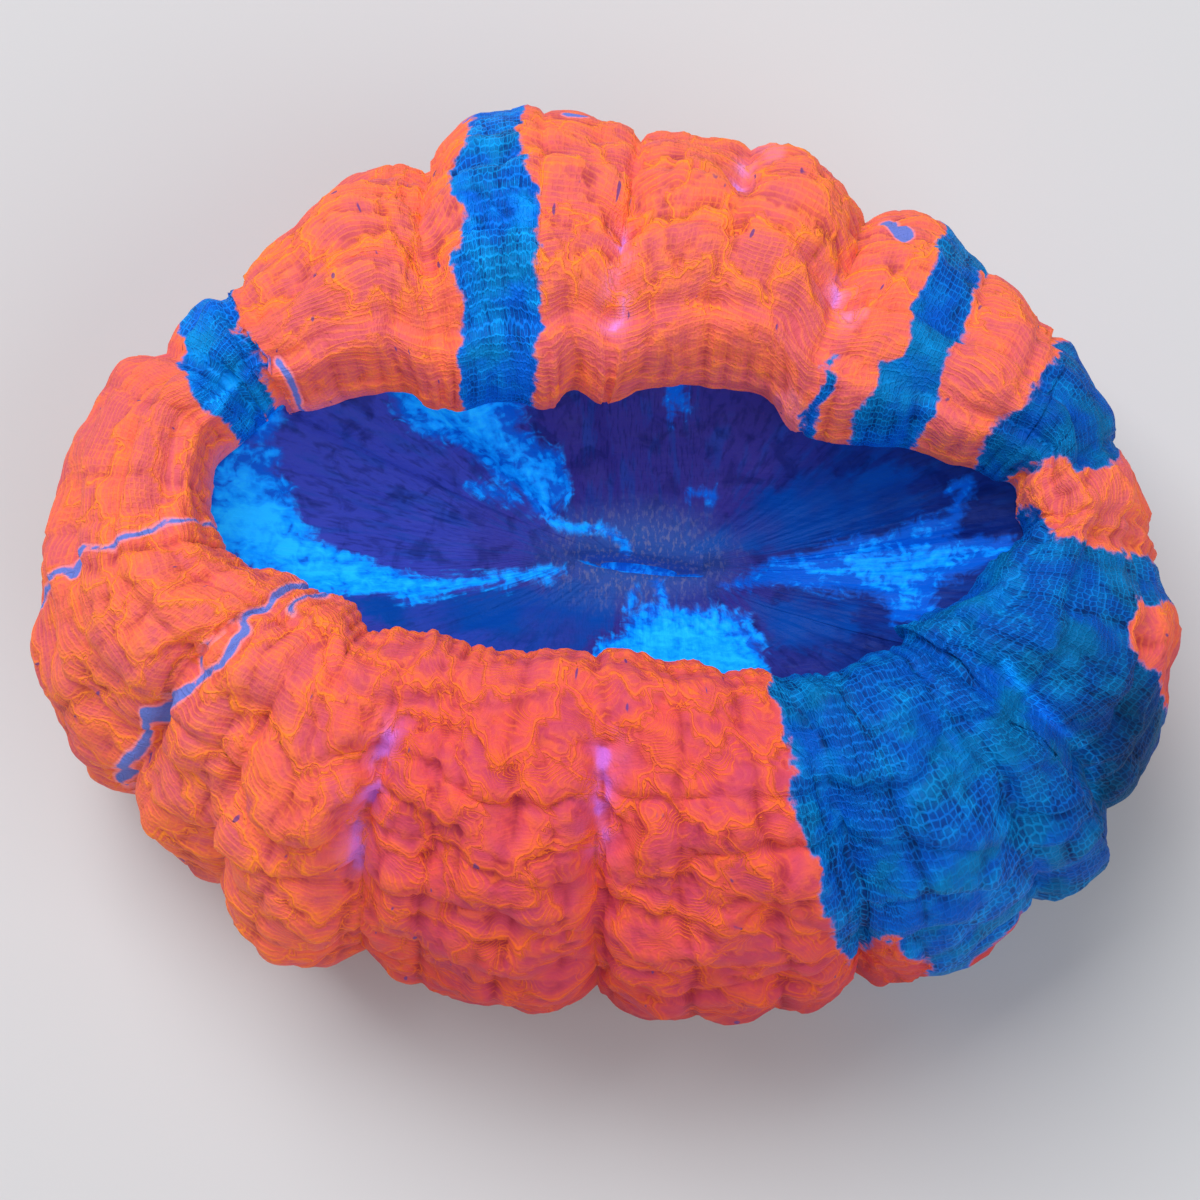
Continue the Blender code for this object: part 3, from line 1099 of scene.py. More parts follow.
@dataclass(frozen=True)
class FleshFinish:
    """The flesh: netted orange-red tissue with teal and blue sectors.

    Attributes:
        coral: The orange tissue between its lines.
        mauve: The same tissue on the tops of its scales.
        ember: Its bright lines and edges, and the painted highlight on the relief's raised parts.
        rose: The glow in the pits of the creases.
        orchid: The same glow at its deepest.
        hollow_shade: Painted shade in the orange tissue's hollows.
        ink: The dark dashes scattered over it.
        front_tint_and_shade: What the tissue is dimmed by in front, partly its own darker tone and
            partly painted shade.
        painted_flank_shade: Painted shade that dims it low on the flank, where the light falls
            off.
        cobalt: The blue tissue.
        teal: The same tissue where it is greener.
        deep: The blue tissue's dark cells, and the painted shade in its hollows.
        cyan: Its brightest flecks, and the painted highlight on its raised parts.
        lilac: Where the two meet, and the thin streaks.
        blush: The pale edges of those streaks.
        surface: The even values.
        band_spacing: The spacing of the bright lines that run round the ring, in millimetres.
        nest_spacing: The spacing of the lines that follow the scales' edges, in millimetres.
        cell_length: How long the net's cells are, in millimetres.
        cells_per_line: How many of them stand side by side to one line of the net.
    """

    coral: Colour = (0.84, 0.135, 0.090)
    mauve: Colour = (0.60, 0.092, 0.140)
    ember: Colour = (1.0, 0.250, 0.035)
    rose: Colour = (0.80, 0.240, 0.460)
    orchid: Colour = (0.62, 0.260, 0.850)
    hollow_shade: Colour = (0.30, 0.022, 0.035)
    ink: Colour = (0.080, 0.040, 0.220)
    front_tint_and_shade: Colour = (0.84, 0.56, 0.84)
    painted_flank_shade: Colour = (0.70, 0.42, 0.50)
    cobalt: Colour = (0.001, 0.105, 0.600)
    teal: Colour = (0.001, 0.175, 0.470)
    deep: Colour = (0.001, 0.032, 0.170)
    cyan: Colour = (0.003, 0.330, 0.880)
    lilac: Colour = (0.130, 0.190, 0.600)
    blush: Colour = (0.95, 0.300, 0.380)
    # The flesh gives off a painted glow of its own colour.
    surface: Surface = Surface(rough=0.55, shine=0.08, glow=0.20, relief=0.12)
    band_spacing: float = 0.52
    nest_spacing: float = 0.42
    cell_length: float = 0.68
    cells_per_line: float = 1.30

    def material(self) -> bpy.types.Material:
        """The flesh's material."""
        paint = Painter("flesh", self.surface)
        at = paint.place()
        round_at, out = paint.net()
        wobble, fine = paint.grain(at, 1.4), paint.grain(at, 0.40)
        threads = self.threads(paint, at, round_at, wobble, fine)
        nested = self.nested(paint, fine)
        cells = self.cells(paint, round_at, out, wobble)

        # Where the blue tissue and the streaks start, with edges made ragged by noise.
        edge = paint.sum("MULTIPLY_ADD", paint.grain(at, 1.0, 3.0), 1.5, -0.75)
        teal = paint.plus(paint.carried(Layer.TEAL), edge)
        lilac = paint.plus(paint.carried(Layer.LILAC), paint.times(edge, 0.22))
        fringe = paint.sum("SUBTRACT", 1.0, paint.ease(paint.sum("ABSOLUTE", teal), 0.0, 0.25))
        orange = self.orange(paint, at, threads, nested, round_at, out)
        bluish = paint.ease(teal, -0.1, 0.1)
        colour = paint.mix(bluish, orange, self.blue(paint, at, cells))
        colour = paint.mix(paint.times(fringe, 0.4), colour, self.lilac)
        colour = paint.mix(paint.times(paint.ease(lilac, -0.26, -0.06), 0.6), colour, self.blush)
        paint.colour(paint.mix(paint.ease(lilac, -0.08, 0.08), colour, self.lilac))

        # The cells are let in where the tissue is blue, and the lines stand out everywhere.
        sunk = paint.sum("MULTIPLY_ADD", paint.carried(Layer.FRONT), 0.15, -0.15)
        sunk = paint.times(cells, paint.sum("MULTIPLY_ADD", bluish, -0.4, sunk))
        relief = paint.plus(paint.times(threads, 0.4), paint.times(nested, 0.8), fine)
        paint.bump(paint.plus(relief, sunk))
        return paint.material

    def threads(
        self, paint: Painter, at: Value, round_at: Value, wobble: Value, fine: Value
    ) -> Socket:
        """The net's threads: bands round the ring and rays across them, broken up by noise.

        Args:
            paint: The material's painter.
            at: The place on the object.
            round_at: How far round the net a point is.
            wobble: Noise that the lines waver with.
            fine: Noise that breaks them up.

        Returns:
            A socket with 1 on the threads and 0 between them.
        """
        front = paint.carried(Layer.FRONT)
        swirl = paint.sum("MULTIPLY_ADD", paint.grain(at, 3.0, 0.5), 9.0, -4.5)
        swirl = paint.times(front, swirl)
        contour = paint.plus(paint.carried(Layer.CONTOUR), paint.times(wobble, 0.45), swirl)
        bands = paint.lines(paint.sum("DIVIDE", contour, self.band_spacing), 0.26)
        rays = paint.lines(paint.plus(round_at, paint.times(wobble, 1.5)), 0.24)
        broken = paint.ease(paint.grain(at, 3.1, 3.0), 0.36, 0.62)
        rays = paint.times(rays, broken, paint.sum("MULTIPLY_ADD", front, -0.6, 0.65))
        bands = paint.times(bands, paint.sum("MULTIPLY_ADD", broken, -0.4, 1.0))
        plain = paint.ease(paint.grain(at, 2.6, 2.0), 0.32, 0.56)
        plain = paint.times(plain, paint.sum("MULTIPLY_ADD", front, 0.40, 0.45))
        threads = paint.times(paint.sum("MAXIMUM", bands, rays), paint.ease(fine, 0.18, 0.46))
        return paint.times(threads, paint.sum("SUBTRACT", 1.0, plain))

    def nested(self, paint: Painter, fine: Value) -> Socket:
        """The lines that follow the scales' edges, one inside the other.

        Args:
            paint: The material's painter.
            fine: Noise that the lines waver with.

        Returns:
            A socket with 1 on the lines and 0 between them and further in.
        """
        brim = paint.plus(paint.carried(Layer.EDGE), paint.times(fine, 0.25))
        near = paint.sum("SUBTRACT", 1.0, paint.ease(brim, 0.2, 1.7))
        count = paint.sum("DIVIDE", brim, self.nest_spacing)
        return paint.times(paint.lines(count, 0.34), near)

    def cells(self, paint: Painter, round_at: Value, out: Value, wobble: Value) -> Socket:
        """The net's sunken cells.

        Args:
            paint: The material's painter.
            round_at: How far round the net a point is.
            out: How far out it is, in millimetres.
            wobble: Noise that the cells' rows waver with.

        Returns:
            A socket with 1 inside the cells and 0 on the threads between them.
        """
        rows = paint.plus(paint.sum("DIVIDE", out, self.cell_length), paint.times(wobble, 0.6))
        across = paint.times(round_at, self.cells_per_line)
        laid = paint.add("ShaderNodeCombineXYZ", {0: across, 1: rows})
        inputs = {"Vector": laid, "Scale": 1.0, "Randomness": 0.50}
        options = {"voronoi_dimensions": "2D", "feature": "DISTANCE_TO_EDGE"}
        inside = paint.ease(paint.add("ShaderNodeTexVoronoi", inputs, **options), 0.04, 0.22)
        seams = paint.plus(paint.sum("DIVIDE", round_at, 4.0), paint.times(wobble, 0.8))
        return paint.plus(inside, paint.times(paint.lines(seams, 0.10), 0.5))

    def orange(
        self,
        paint: Painter,
        at: Value,
        threads: Value,
        nested: Value,
        round_at: Value,
        out: Value,
    ) -> Socket:
        """The orange tissue's colour.

        Args:
            paint: The material's painter.
            at: The place on the object.
            threads: The net's threads.
            nested: The lines along the scales' edges.
            round_at: How far round the net a point is.
            out: How far out it is, in millimetres.

        Returns:
            The colour's socket.
        """
        plateau = paint.ease(paint.carried(Layer.EDGE), 0.5, 1.8)
        tops = paint.plus(paint.grain(at, 2.6, 4.0), paint.times(paint.carried(Layer.SCALE), 0.3))
        tops = paint.times(paint.ease(tops, 0.46, 0.76), plateau, 0.78)
        colour = paint.mix(tops, self.coral, self.mauve)
        glow = paint.carried(Layer.GLOW)
        colour = paint.mix(paint.times(glow, 0.9), colour, self.rose)
        # Painted shade darkens the hollows of the relief.
        colour = paint.mix(paint.times(paint.carried(Layer.SHADED_HOLLOW), 0.60), colour, self.hollow_shade)
        # Painted highlight brightens the raised parts of the relief.
        crest_highlight = paint.times(paint.carried(Layer.CREST_HIGHLIGHT), 0.42)
        quiet = paint.sum("MULTIPLY_ADD", glow, -0.6, 1.0)
        bold = paint.sum("MULTIPLY_ADD", paint.carried(Layer.FRONT), 0.27, 0.55)
        lit = paint.plus(paint.times(threads, bold), nested, crest_highlight)
        colour = paint.mix(paint.times(lit, quiet), colour, self.ember)
        colour = paint.mix(paint.times(paint.ease(glow, 0.55, 1.00), 0.7), colour, self.orchid)
        # The front is dimmed, partly its own darker tone and partly painted shade, and the low
        # flank is dimmed by painted shade.
        for layer, tint in ((Layer.FRONT, self.front_tint_and_shade), (Layer.SHADE, self.painted_flank_shade)):
            dimmed = paint.mix(paint.carried(layer), (1.0, 1.0, 1.0), tint)
            colour = paint.vector("MULTIPLY", colour, dimmed)
        stretched = {0: paint.times(round_at, 0.5), 1: paint.times(out, 0.45)}
        dashes = paint.grain(paint.add("ShaderNodeCombineXYZ", stretched), 1.0, 1.0)
        return paint.mix(paint.times(paint.ease(dashes, 0.735, 0.77), 0.8), colour, self.ink)

    def blue(self, paint: Painter, at: Value, cells: Value) -> Socket:
        """The blue tissue's colour.

        Args:
            paint: The material's painter.
            at: The place on the object.
            cells: The net's sunken cells.

        Returns:
            The colour's socket.
        """
        greener = paint.ease(paint.grain(at, 5.0, 3.0), 0.44, 0.64)
        colour = paint.mix(greener, self.cobalt, self.teal)
        netted = paint.ease(paint.grain(at, 4.0, 2.0), 0.36, 0.58)
        # Painted shade darkens the hollows; the sunken cells are the tissue's own dark net.
        shaded_hollow = paint.times(paint.carried(Layer.SHADED_HOLLOW), 0.70)
        sunk = paint.times(cells, paint.sum("MULTIPLY_ADD", netted, 0.40, 0.15))
        colour = paint.mix(paint.plus(sunk, shaded_hollow), colour, self.deep)
        flecks = paint.ease(paint.grain(at, 2.4, 5.0), 0.46, 0.74)
        walls = paint.sum("MULTIPLY_ADD", cells, -0.6, 0.6)
        walls = paint.times(walls, paint.sum("MULTIPLY_ADD", netted, 0.8, 0.2))
        lit = paint.times(walls, paint.sum("MULTIPLY_ADD", flecks, 0.6, 0.3))
        # Painted highlight brightens the raised parts of the relief.
        crest_highlight = paint.times(paint.carried(Layer.CREST_HIGHLIGHT), 0.20)
        lit = paint.plus(lit, paint.times(flecks, 0.42), crest_highlight)
        colour = paint.mix(lit, colour, self.cyan)
        tone = paint.carried(Layer.TONE)
        even = paint.add("ShaderNodeCombineXYZ", {0: tone, 1: tone, 2: tone})
        return paint.vector("MULTIPLY", colour, even)


@dataclass(frozen=True)
class DiscFinish:
    """The oral disc: indigo tissue with fine rays and azure blotches.

    Attributes:
        centre: The mouth's place, in millimetres.
        iris: The disc at its left.
        violet: The disc above the mouth.
        indigo: The disc at its right.
        navy: The patches near its edge.
        dark: The fine rays over all of it.
        azure: The bright blotches.
        ocean: The same blotches between their streaks.
        sky: Their brightest flecks.
        haze: The ground round the mouth.
        sand: The dashes scattered over it.
        half_mouth: Half the mouth's length, from which the streaks run out.
        surface: The even values.
    """

    centre: Place
    iris: Colour = (0.027, 0.044, 0.345)
    violet: Colour = (0.025, 0.022, 0.190)
    indigo: Colour = (0.005, 0.020, 0.165)
    navy: Colour = (0.001, 0.045, 0.280)
    dark: Colour = (0.002, 0.006, 0.075)
    azure: Colour = (0.002, 0.270, 0.920)
    ocean: Colour = (0.001, 0.085, 0.520)
    sky: Colour = (0.012, 0.450, 1.0)
    haze: Colour = (0.020, 0.075, 0.300)
    sand: Colour = (0.150, 0.150, 0.260)
    half_mouth: float = 5.0
    # The disc gives off a stronger painted glow, which lifts it where it lies sunk in shade.
    surface: Surface = Surface(rough=0.52, shine=0.08, glow=0.40, relief=0.13)

    def material(self) -> bpy.types.Material:
        """The disc's material."""
        paint = Painter("oral_disc_tissue", self.surface)
        at = paint.place()
        strokes, reach = self.strokes(paint, at)
        rays, streaks = paint.grain(strokes, 0.20, 2.0), paint.grain(strokes, 0.60, 3.0)
        flecks = paint.grain(at, 1.2, 4.0, 1.2)
        broad = paint.grain(at, 6.0, 3.0)
        ragged = paint.sum("MULTIPLY_ADD", streaks, 2.2, -1.1)
        ragged = paint.times(ragged, paint.ease(reach, 1.0, 12.0))
        ragged = paint.plus(ragged, paint.sum("MULTIPLY_ADD", flecks, 1.8, -0.9))

        colour = self.rayed(paint, self.ground(paint, at, broad), rays, streaks, reach)
        blots = paint.times(paint.ease(paint.grain(at, 2.2, 5.0, 0.6), 0.50, 0.66), 0.45)
        colour = paint.mix(blots, colour, self.dark)
        navy = paint.plus(paint.carried(Layer.NAVY), ragged)
        mottle = paint.sum("MULTIPLY_ADD", paint.ease(broad, 0.35, 0.60), 0.6, 0.4)
        colour = paint.mix(paint.times(paint.ease(navy, -0.6, 0.6), mottle), colour, self.navy)
        colour = self.sandy(paint, at, colour)
        inland = paint.plus(paint.carried(Layer.AZURE), ragged)
        bright = self.bright(paint, at, inland, streaks, flecks)
        paint.colour(paint.mix(paint.ease(inland, -0.45, 0.45), colour, bright))

        wrinkles = paint.grain(paint.vector("MULTIPLY", at, (0.3, 1.6, 1.0)), 0.8, 3.0)
        raised = paint.plus(paint.times(rays, 0.6), paint.times(flecks, 0.5), wrinkles)
        paint.bump(raised)
        return paint.material

    def rayed(
        self, paint: Painter, colour: Value, rays: Value, streaks: Value, reach: Value
    ) -> Socket:
        """A colour with the rays that run out from the mouth.

        Args:
            paint: The material's painter.
            colour: The colour under them.
            rays: Noise for the fine rays.
            streaks: Noise for the broad ones.
            reach: How far from the mouth's slit a point is.

        Returns:
            The colour's socket.
        """
        broad = paint.times(paint.ease(streaks, 0.48, 0.66), 0.42)
        colour = paint.mix(broad, colour, self.navy)
        fine = paint.times(paint.ease(rays, 0.52, 0.30), paint.ease(reach, 5.0, 14.0), 0.42)
        return paint.mix(fine, colour, self.dark)

    def sandy(self, paint: Painter, at: Value, colour: Value) -> Socket:
        """A colour with the dull, dotted ground round the mouth.

        Args:
            paint: The material's painter.
            at: The place on the object.
            colour: The colour under it.

        Returns:
            The colour's socket.
        """
        dots = paint.grain(paint.vector("MULTIPLY", at, (2.6, 1.2, 1.0)), 0.7, 3.0)
        sand = paint.carried(Layer.SAND)
        colour = paint.mix(paint.times(sand, 0.75), colour, self.haze)
        return paint.mix(paint.times(paint.ease(dots, 0.50, 0.66), sand, 0.5), colour, self.sand)

    def bright(
        self, paint: Painter, at: Value, inland: Value, streaks: Value, flecks: Value
    ) -> Socket:
        """The bright blotches' own colour, palest well inside them.

        Args:
            paint: The material's painter.
            at: The place on the object.
            inland: How far inside a blotch a point is, in millimetres.
            streaks: Noise drawn out from the mouth.
            flecks: Noise in small lumps.

        Returns:
            The colour's socket.
        """
        shot = paint.plus(paint.times(streaks, 0.45), paint.times(flecks, 0.55))
        speck = paint.sum("MULTIPLY_ADD", paint.grain(at, 0.8, 4.0), 0.5, -0.25)
        inland = paint.sum("MULTIPLY_ADD", paint.ease(inland, 0.0, 2.6), 0.24, -0.19)
        shot = paint.plus(shot, speck, inland, paint.times(paint.carried(Layer.TONE), 0.21))
        colour = paint.mix(paint.ease(shot, 0.34, 0.60), self.ocean, self.azure)
        return paint.mix(paint.times(paint.ease(shot, 0.54, 0.84), 0.75), colour, self.sky)

    def strokes(self, paint: Painter, at: Value) -> tuple[Socket, Socket]:
        """A place that changes quickly round the mouth's slit and slowly away from it.

        Args:
            paint: The material's painter.
            at: The place on the object.

        Returns:
            The place for the strokes, and how far from the slit a point is.
        """
        offset = paint.vector("SUBTRACT", at, self.centre)
        offset = paint.vector("MULTIPLY", offset, (1.0, 1.9, 0.0))
        parts = paint.tree.nodes.new("ShaderNodeSeparateXYZ")
        paint.join(offset, parts.inputs[0])
        limits = {"Value": parts.outputs[0], "Min": -self.half_mouth, "Max": self.half_mouth}
        on_slit = paint.add("ShaderNodeCombineXYZ", {0: paint.add("ShaderNodeClamp", limits)})
        offset = paint.vector("SUBTRACT", offset, on_slit)
        reach = paint.vector("LENGTH", offset, output="Value")
        way = paint.vector("MULTIPLY", paint.vector("NORMALIZE", offset), (7.0, 7.0, 0.0))
        lift = paint.add("ShaderNodeCombineXYZ", {2: paint.times(reach, 0.12)})
        return paint.vector("ADD", paint.vector("ADD", way, lift), on_slit), reach

    def ground(self, paint: Painter, at: Value, broad: Value) -> Socket:
        """The disc's colour between its blotches, which changes from left to right.

        Args:
            paint: The material's painter.
            at: The place on the object.
            broad: Noise that blurs the change.

        Returns:
            The colour's socket.
        """
        parts = paint.tree.nodes.new("ShaderNodeSeparateXYZ")
        paint.join(at, parts.inputs[0])
        across = paint.plus(parts.outputs[0], paint.sum("MULTIPLY_ADD", broad, 14.0, -7.0))
        colour = paint.mix(paint.ease(across, -15.0, -1.0), self.iris, self.violet)
        return paint.mix(paint.ease(across, 8.0, 18.0), colour, self.indigo)


@dataclass(frozen=True)
class CupFinish:
    """The stony foot: dull grained limestone.

    Attributes:
        bone: The stone's colour.
        stain: What it is stained with.
        surface: The even values.
    """

    bone: Colour = (0.60, 0.54, 0.45)
    stain: Colour = (0.30, 0.25, 0.20)
    surface: Surface = Surface(rough=0.85, shine=0.3, relief=0.15)

    def material(self) -> bpy.types.Material:
        """The foot's material."""
        paint = Painter("limestone", self.surface)
        at = paint.place()
        worn = paint.ease(paint.grain(at, 3.0, 4.0), 0.40, 0.70)
        pores = paint.grain(at, 0.35, 3.0)
        paint.join(paint.mix(worn, self.bone, self.stain), paint.shader.inputs["Base Color"])
        paint.bump(pores)
        return paint.material


@dataclass(frozen=True)
class PlainFinish:
    """An even, pale matt surface for the floor.

    Attributes:
        colour: Its colour.
        surface: The even values.
    """

    colour: Colour = (0.64, 0.64, 0.65)
    surface: Surface = Surface(rough=0.9, shine=0.2)

    def material(self) -> bpy.types.Material:
        """The floor's material."""
        paint = Painter("pale_floor", self.surface)
        paint.join(self.colour, paint.shader.inputs["Base Color"])
        return paint.material


# ---------------------------------------------------------------------------------------------
# The pieces
# ---------------------------------------------------------------------------------------------


@dataclass(frozen=True)
class Piece:
    """What the coral's pieces share.

    Attributes:
        form: The shape that the piece is cut from.
    """

    form: CoralForm

    def dress(
        self, piece: bpy.types.Object, finish: FleshFinish | DiscFinish | CupFinish, slot: Slot
    ) -> bpy.types.Object:
        """Gives a piece its material and its body, and hides the imported part that it stands for.

        Args:
            piece: The piece.
            finish: The finish whose material it gets.
            slot: Not used.

        Returns:
            The same piece.
        """
        piece.data.materials.append(finish.material())
        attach(piece, BODY)
        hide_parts(NODE)
        return piece

    def plan(self, grid: Grid) -> Grid:
        """Each point's place seen from above, in millimetres from the coral's middle."""
        return self.form.in_box(grid)[..., :2] / MM


@dataclass(frozen=True)
class Mantle(Piece):
    """The puffed ring of flesh, from under its lip to the top of the foot.

    Attributes:
        flesh: The ring's grid.
        net_lines: How many lines of the net run outwards.
        terrace: The spacing of the steps that run round the ring.
        terrace_drop: How sharply they drop.
        step_height: How high they stand.
        drum: The radius at which a rib is as wide as its size says.
        rib_size: How wide the ribs are that run outwards.
        rib_height: How high they stand in front.
        columns: How many narrow columns of flesh stand round the ring.
        column_height: How high they stand.
        hill_size: How large the hills are that bend the steps.
        pimple_size: How large the pimples are.
        pimple_height: How high they stand.
        sway: How far the scales sway, as a share of the way round and in millimetres outwards.
        broad_scales: The large scales.
        small_scales: The small ones that lie on them.
        broad_height: How high the large scales stand.
        small_height: How high the small ones stand.
        scale_middle: The height of a scale that moves nothing in or out.
        bead_pairs: Half the number of beads along the lip.
        bead_height: How high they stand.
        bead_band: How far along the section they stand, and how far to both sides.
        sunk: How far the whole relief is let into the form.
        smooth_lip: How far along the section the relief starts, and where it is full.
        teal: The sectors of blue tissue.
        sliver: The strip of orange tissue that parts the last of them.
        lilac: The thin streaks of lilac tissue.
        rosy: Where the flesh is worn to a rosy glow.
        ridge_highlight: A painted highlight along a ridge in the last blue sector.
        ridge_highlight_half: Half its width.
        ridge_highlight_gain: How much brighter it is.
        low_end: The middle of that sector's dark low end.
        low_end_half: Half the dark end's length and width.
        low_end_dim: How much darker it is.
    """

    flesh: Ring
    net_lines: int = 480
    terrace: float = 1.26
    terrace_drop: float = 6.0
    step_height: float = 0.15
    drum: float = 30.0
    rib_size: float = 4.6
    rib_height: float = 0.45
    columns: int = 35
    column_height: float = 0.60
    hill_size: float = 5.5
    pimple_size: float = 1.3
    pimple_height: float = 0.15
    sway: Point = (0.004, 1.2)
    broad_scales: Scales = Scales(count=50, pitch=4.4, seed=5)
    small_scales: Scales = Scales(count=110, pitch=1.9, seed=9)
    broad_height: float = 0.48
    small_height: float = 0.40
    scale_middle: float = 0.95
    bead_pairs: int = 62
    bead_height: float = 0.24
    bead_band: Point = (6.5, 3.0)
    sunk: float = 0.12
    smooth_lip: Point = (0.0, 3.0)

    teal: tuple[Patch, ...] = (
        Patch(
            (
                (-27.0, 5.0), (-24.5, 8.5), (-25.5, 11.0), (-27.0, 12.5), (-28.0, 15.5),
                (-30.0, 21.5), (-34.0, 27.0), (-40.0, 24.0), (-34.0, 18.5), (-32.0, 13.5),
                (-31.5, 11.0), (-30.5, 9.0), (-29.5, 7.0),
            ),
            1.3,
        ),
        Patch(
            (
                (-10.5, 6.0), (-11.0, 11.0), (-10.5, 12.5), (-11.0, 16.0), (-11.0, 18.0),
                (-10.5, 21.5), (-11.5, 23.0), (-12.0, 27.0), (-10.5, 27.5), (-11.0, 33.0),
                (-10.5, 36.5), (-11.0, 43.0), (-6.0, 43.0), (-6.0, 37.5), (-7.0, 30.5),
                (-6.0, 24.5), (-5.5, 22.0), (-5.0, 17.5), (-5.0, 9.5), (-5.5, 6.0),
            ),
            1.2,
        ),
        Patch(
            (
                (18.0, 3.0), (18.0, 6.5), (19.5, 8.0), (20.0, 10.0), (21.5, 11.0),
                (22.0, 13.0), (23.0, 15.5), (24.0, 18.5), (26.0, 23.0), (26.5, 27.0),
                (28.0, 34.0), (36.0, 29.0), (30.5, 24.0), (30.0, 22.5), (27.0, 15.5),
                (26.0, 13.0), (24.5, 10.0), (24.0, 7.5), (23.0, 5.5), (22.5, 3.0),
            ),
            0.95,
        ),
        Patch(
            (
                (14.0, 5.0), (14.5, 7.5), (15.5, 8.5), (16.0, 10.5), (16.6, 8.5),
                (15.3, 7.0), (15.0, 5.0),
            ),
            0.9,
        ),
        Patch(
            (
                (27.0, 2.5), (27.5, 4.5), (28.5, 6.0), (30.5, 7.5), (31.5, 9.5),
                (34.0, 12.5), (36.5, 17.5), (41.0, 22.0), (49.0, 13.0), (42.0, 10.0),
                (38.5, 5.0), (36.5, 3.0), (32.5, 3.0), (30.5, 2.5), (29.0, 1.5),
            ),
            0.72,
        ),
        Patch(
            (
                (11.5, -8.0), (11.5, -12.5), (12.0, -15.0), (13.0, -19.5), (13.0, -22.5),
                (14.0, -25.0), (15.0, -27.0), (15.0, -29.5), (17.9, -32.6), (19.2, -31.6),
                (20.0, -30.3), (21.2, -30.6), (22.5, -32.1), (26.5, -33.5), (36.0, -34.0),
                (45.0, -26.0), (48.0, -14.0), (42.5, -12.5), (39.0, -11.5), (37.5, -10.0),
                (39.0, -7.0), (43.0, -5.0), (50.0, -5.0), (50.0, -2.0), (41.5, -2.0),
                (38.5, -3.0), (35.0, -3.0), (32.0, -2.5), (30.5, 0.5), (27.0, -1.5),
                (24.0, -5.0), (20.0, -7.5), (17.0, -8.5),
            ),
            0.85,
        ),
    )
    sliver: Streak = Streak(((29.4, -32.4), (33.8, -28.8)), 0.9)
    lilac: tuple[Streak, ...] = (
        Streak(
            (
                (-28.8, -0.6), (-30.6, -1.4), (-31.8, -1.4), (-32.8, -2.2), (-33.8, -2.5),
                (-35.0, -2.9), (-35.8, -3.5), (-38.1, -3.3),
            ),
            0.16,
        ),
        Streak(((-38.1, -3.3), (-39.3, -4.5)), 0.36),
        Streak(((-39.3, -4.5), (-41.0, -4.2), (-42.8, -5.6), (-46.0, -6.0)), 0.26),
        Streak(
            (
                (-21.0, -4.0), (-21.9, -5.2), (-23.3, -5.7), (-24.5, -7.6), (-26.2, -8.5),
                (-25.7, -9.7), (-26.5, -10.9), (-27.5, -12.0), (-29.0, -12.8), (-30.0, -13.6),
            ),
            0.25,
        ),
        Streak(((-30.0, -13.6), (-32.0, -14.3), (-33.9, -14.9)), 0.48),
        Streak(((-33.9, -14.9), (-34.7, -16.4), (-35.7, -17.3), (-37.8, -18.5)), 0.32),
        Streak(((-26.8, -8.8), (-28.0, -10.4), (-29.4, -11.2), (-28.8, -12.2)), 0.10),
        Streak(((-22.8, -8.1), (-21.8, -6.7), (-20.5, -6.1)), 0.14),
        Streak(((-24.0, 10.5), (-23.0, 8.5)), 0.22),
        Streak(((21.7, 23.6), (22.3, 21.6)), 0.7),
        Streak(((-3.0, 33.0), (-0.6, 33.6)), 0.45),
    )
    rosy: tuple[Patch | Streak, ...] = (
        Patch(((10.2, 34.0), (15.6, 34.0), (14.0, 29.0), (12.4, 25.8), (11.2, 28.0))),
        Streak(((12.7, 7.8), (14.2, 6.8)), 0.8),
        Streak(((17.6, 13.4), (17.8, 13.8)), 1.0),
    )
    ridge_highlight: tuple[Point, ...] = ((27.9, -12.0), (32.2, -15.7), (36.0, -17.6), (37.0, -19.9))
    ridge_highlight_half: float = 0.32
    ridge_highlight_gain: float = 1.2
    low_end: Point = (40.0, -17.0)
    low_end_half: Point = (7.0, 9.0)
    low_end_dim: float = 0.70

    def build(self) -> bpy.types.Object:
        """The mantle as one closed ring."""
        flesh = self.flesh
        plan = self.plan(flesh.grid)
        teal = deepest(wandering(plan, 2.2, 0.8), self.teal)
        layers = {Layer.TEAL: np.minimum(teal, -self.sliver.depth(plan))}
        grid, shown = self.wrinkled(ramp(teal, 0.0, 1.5))
        layers |= shown | self.colours(grid)
        tucked = self.tuck(grid)
        spare = tucked.shape[1]
        out = np.broadcast_to(flesh.along, grid.shape[:2])
        out = np.hstack([out, np.repeat(out[:, -1:], spare, axis=1)])
        for layer, value in layers.items():
            layers[layer] = np.hstack([value, np.repeat(value[:, -1:], spare, axis=1)])
        shell = Shell("puffed_mantle", self.form.in_box(np.hstack([grid, tucked])), True)
        round_at = np.arange(len(grid) + 1) * self.net_lines / len(grid)
        return self.dress(shell.build(layers, (round_at, out)), FleshFinish(), Slot.FLESH)

    def wrinkled(self, blue: Grid) -> tuple[Grid, dict[Layer, Grid]]:
        """The ring with its ribs, columns, scales, steps, pimples and beads.

        Args:
            blue: 1 in the blue tissue, which is smoother, and 0 in the orange.

        Returns:
            The grid, and what it carries about its relief.
        """
        flesh = self.flesh
        base, front, along = flesh.base, flesh.front, flesh.along[None, :]
        around = np.arange(len(base)) / len(base)
        turn = 2 * math.pi * around
        ribs = self.ribs(turn)
        hills = 2.0 * noise_at(base, self.hill_size, shift=61.0)
        pimples = noise_at(base, self.pimple_size, shift=23.0)
        across = around[:, None] + self.sway[0] * noise_at(base, 4.0, shift=3.0)
        outward = along + self.sway[1] * noise_at(base, 4.5, shift=83.0)
        broad, inside, mark = self.broad_scales.laid(across, outward)
        small, brow, _ = self.small_scales.laid(across, outward)
        columns = np.abs(np.sin(math.pi * self.columns * across)) ** 0.5
        rough = self.rough(blue)
        contour = along + 0.8 * hills + 0.4 * ribs + rough * (1.0 * broad + 0.5 * small)
        steps = shingle(contour / self.terrace, self.terrace_drop)
        beads = np.abs(np.sin(self.bead_pairs * turn))[:, None]
        middle, half = self.bead_band

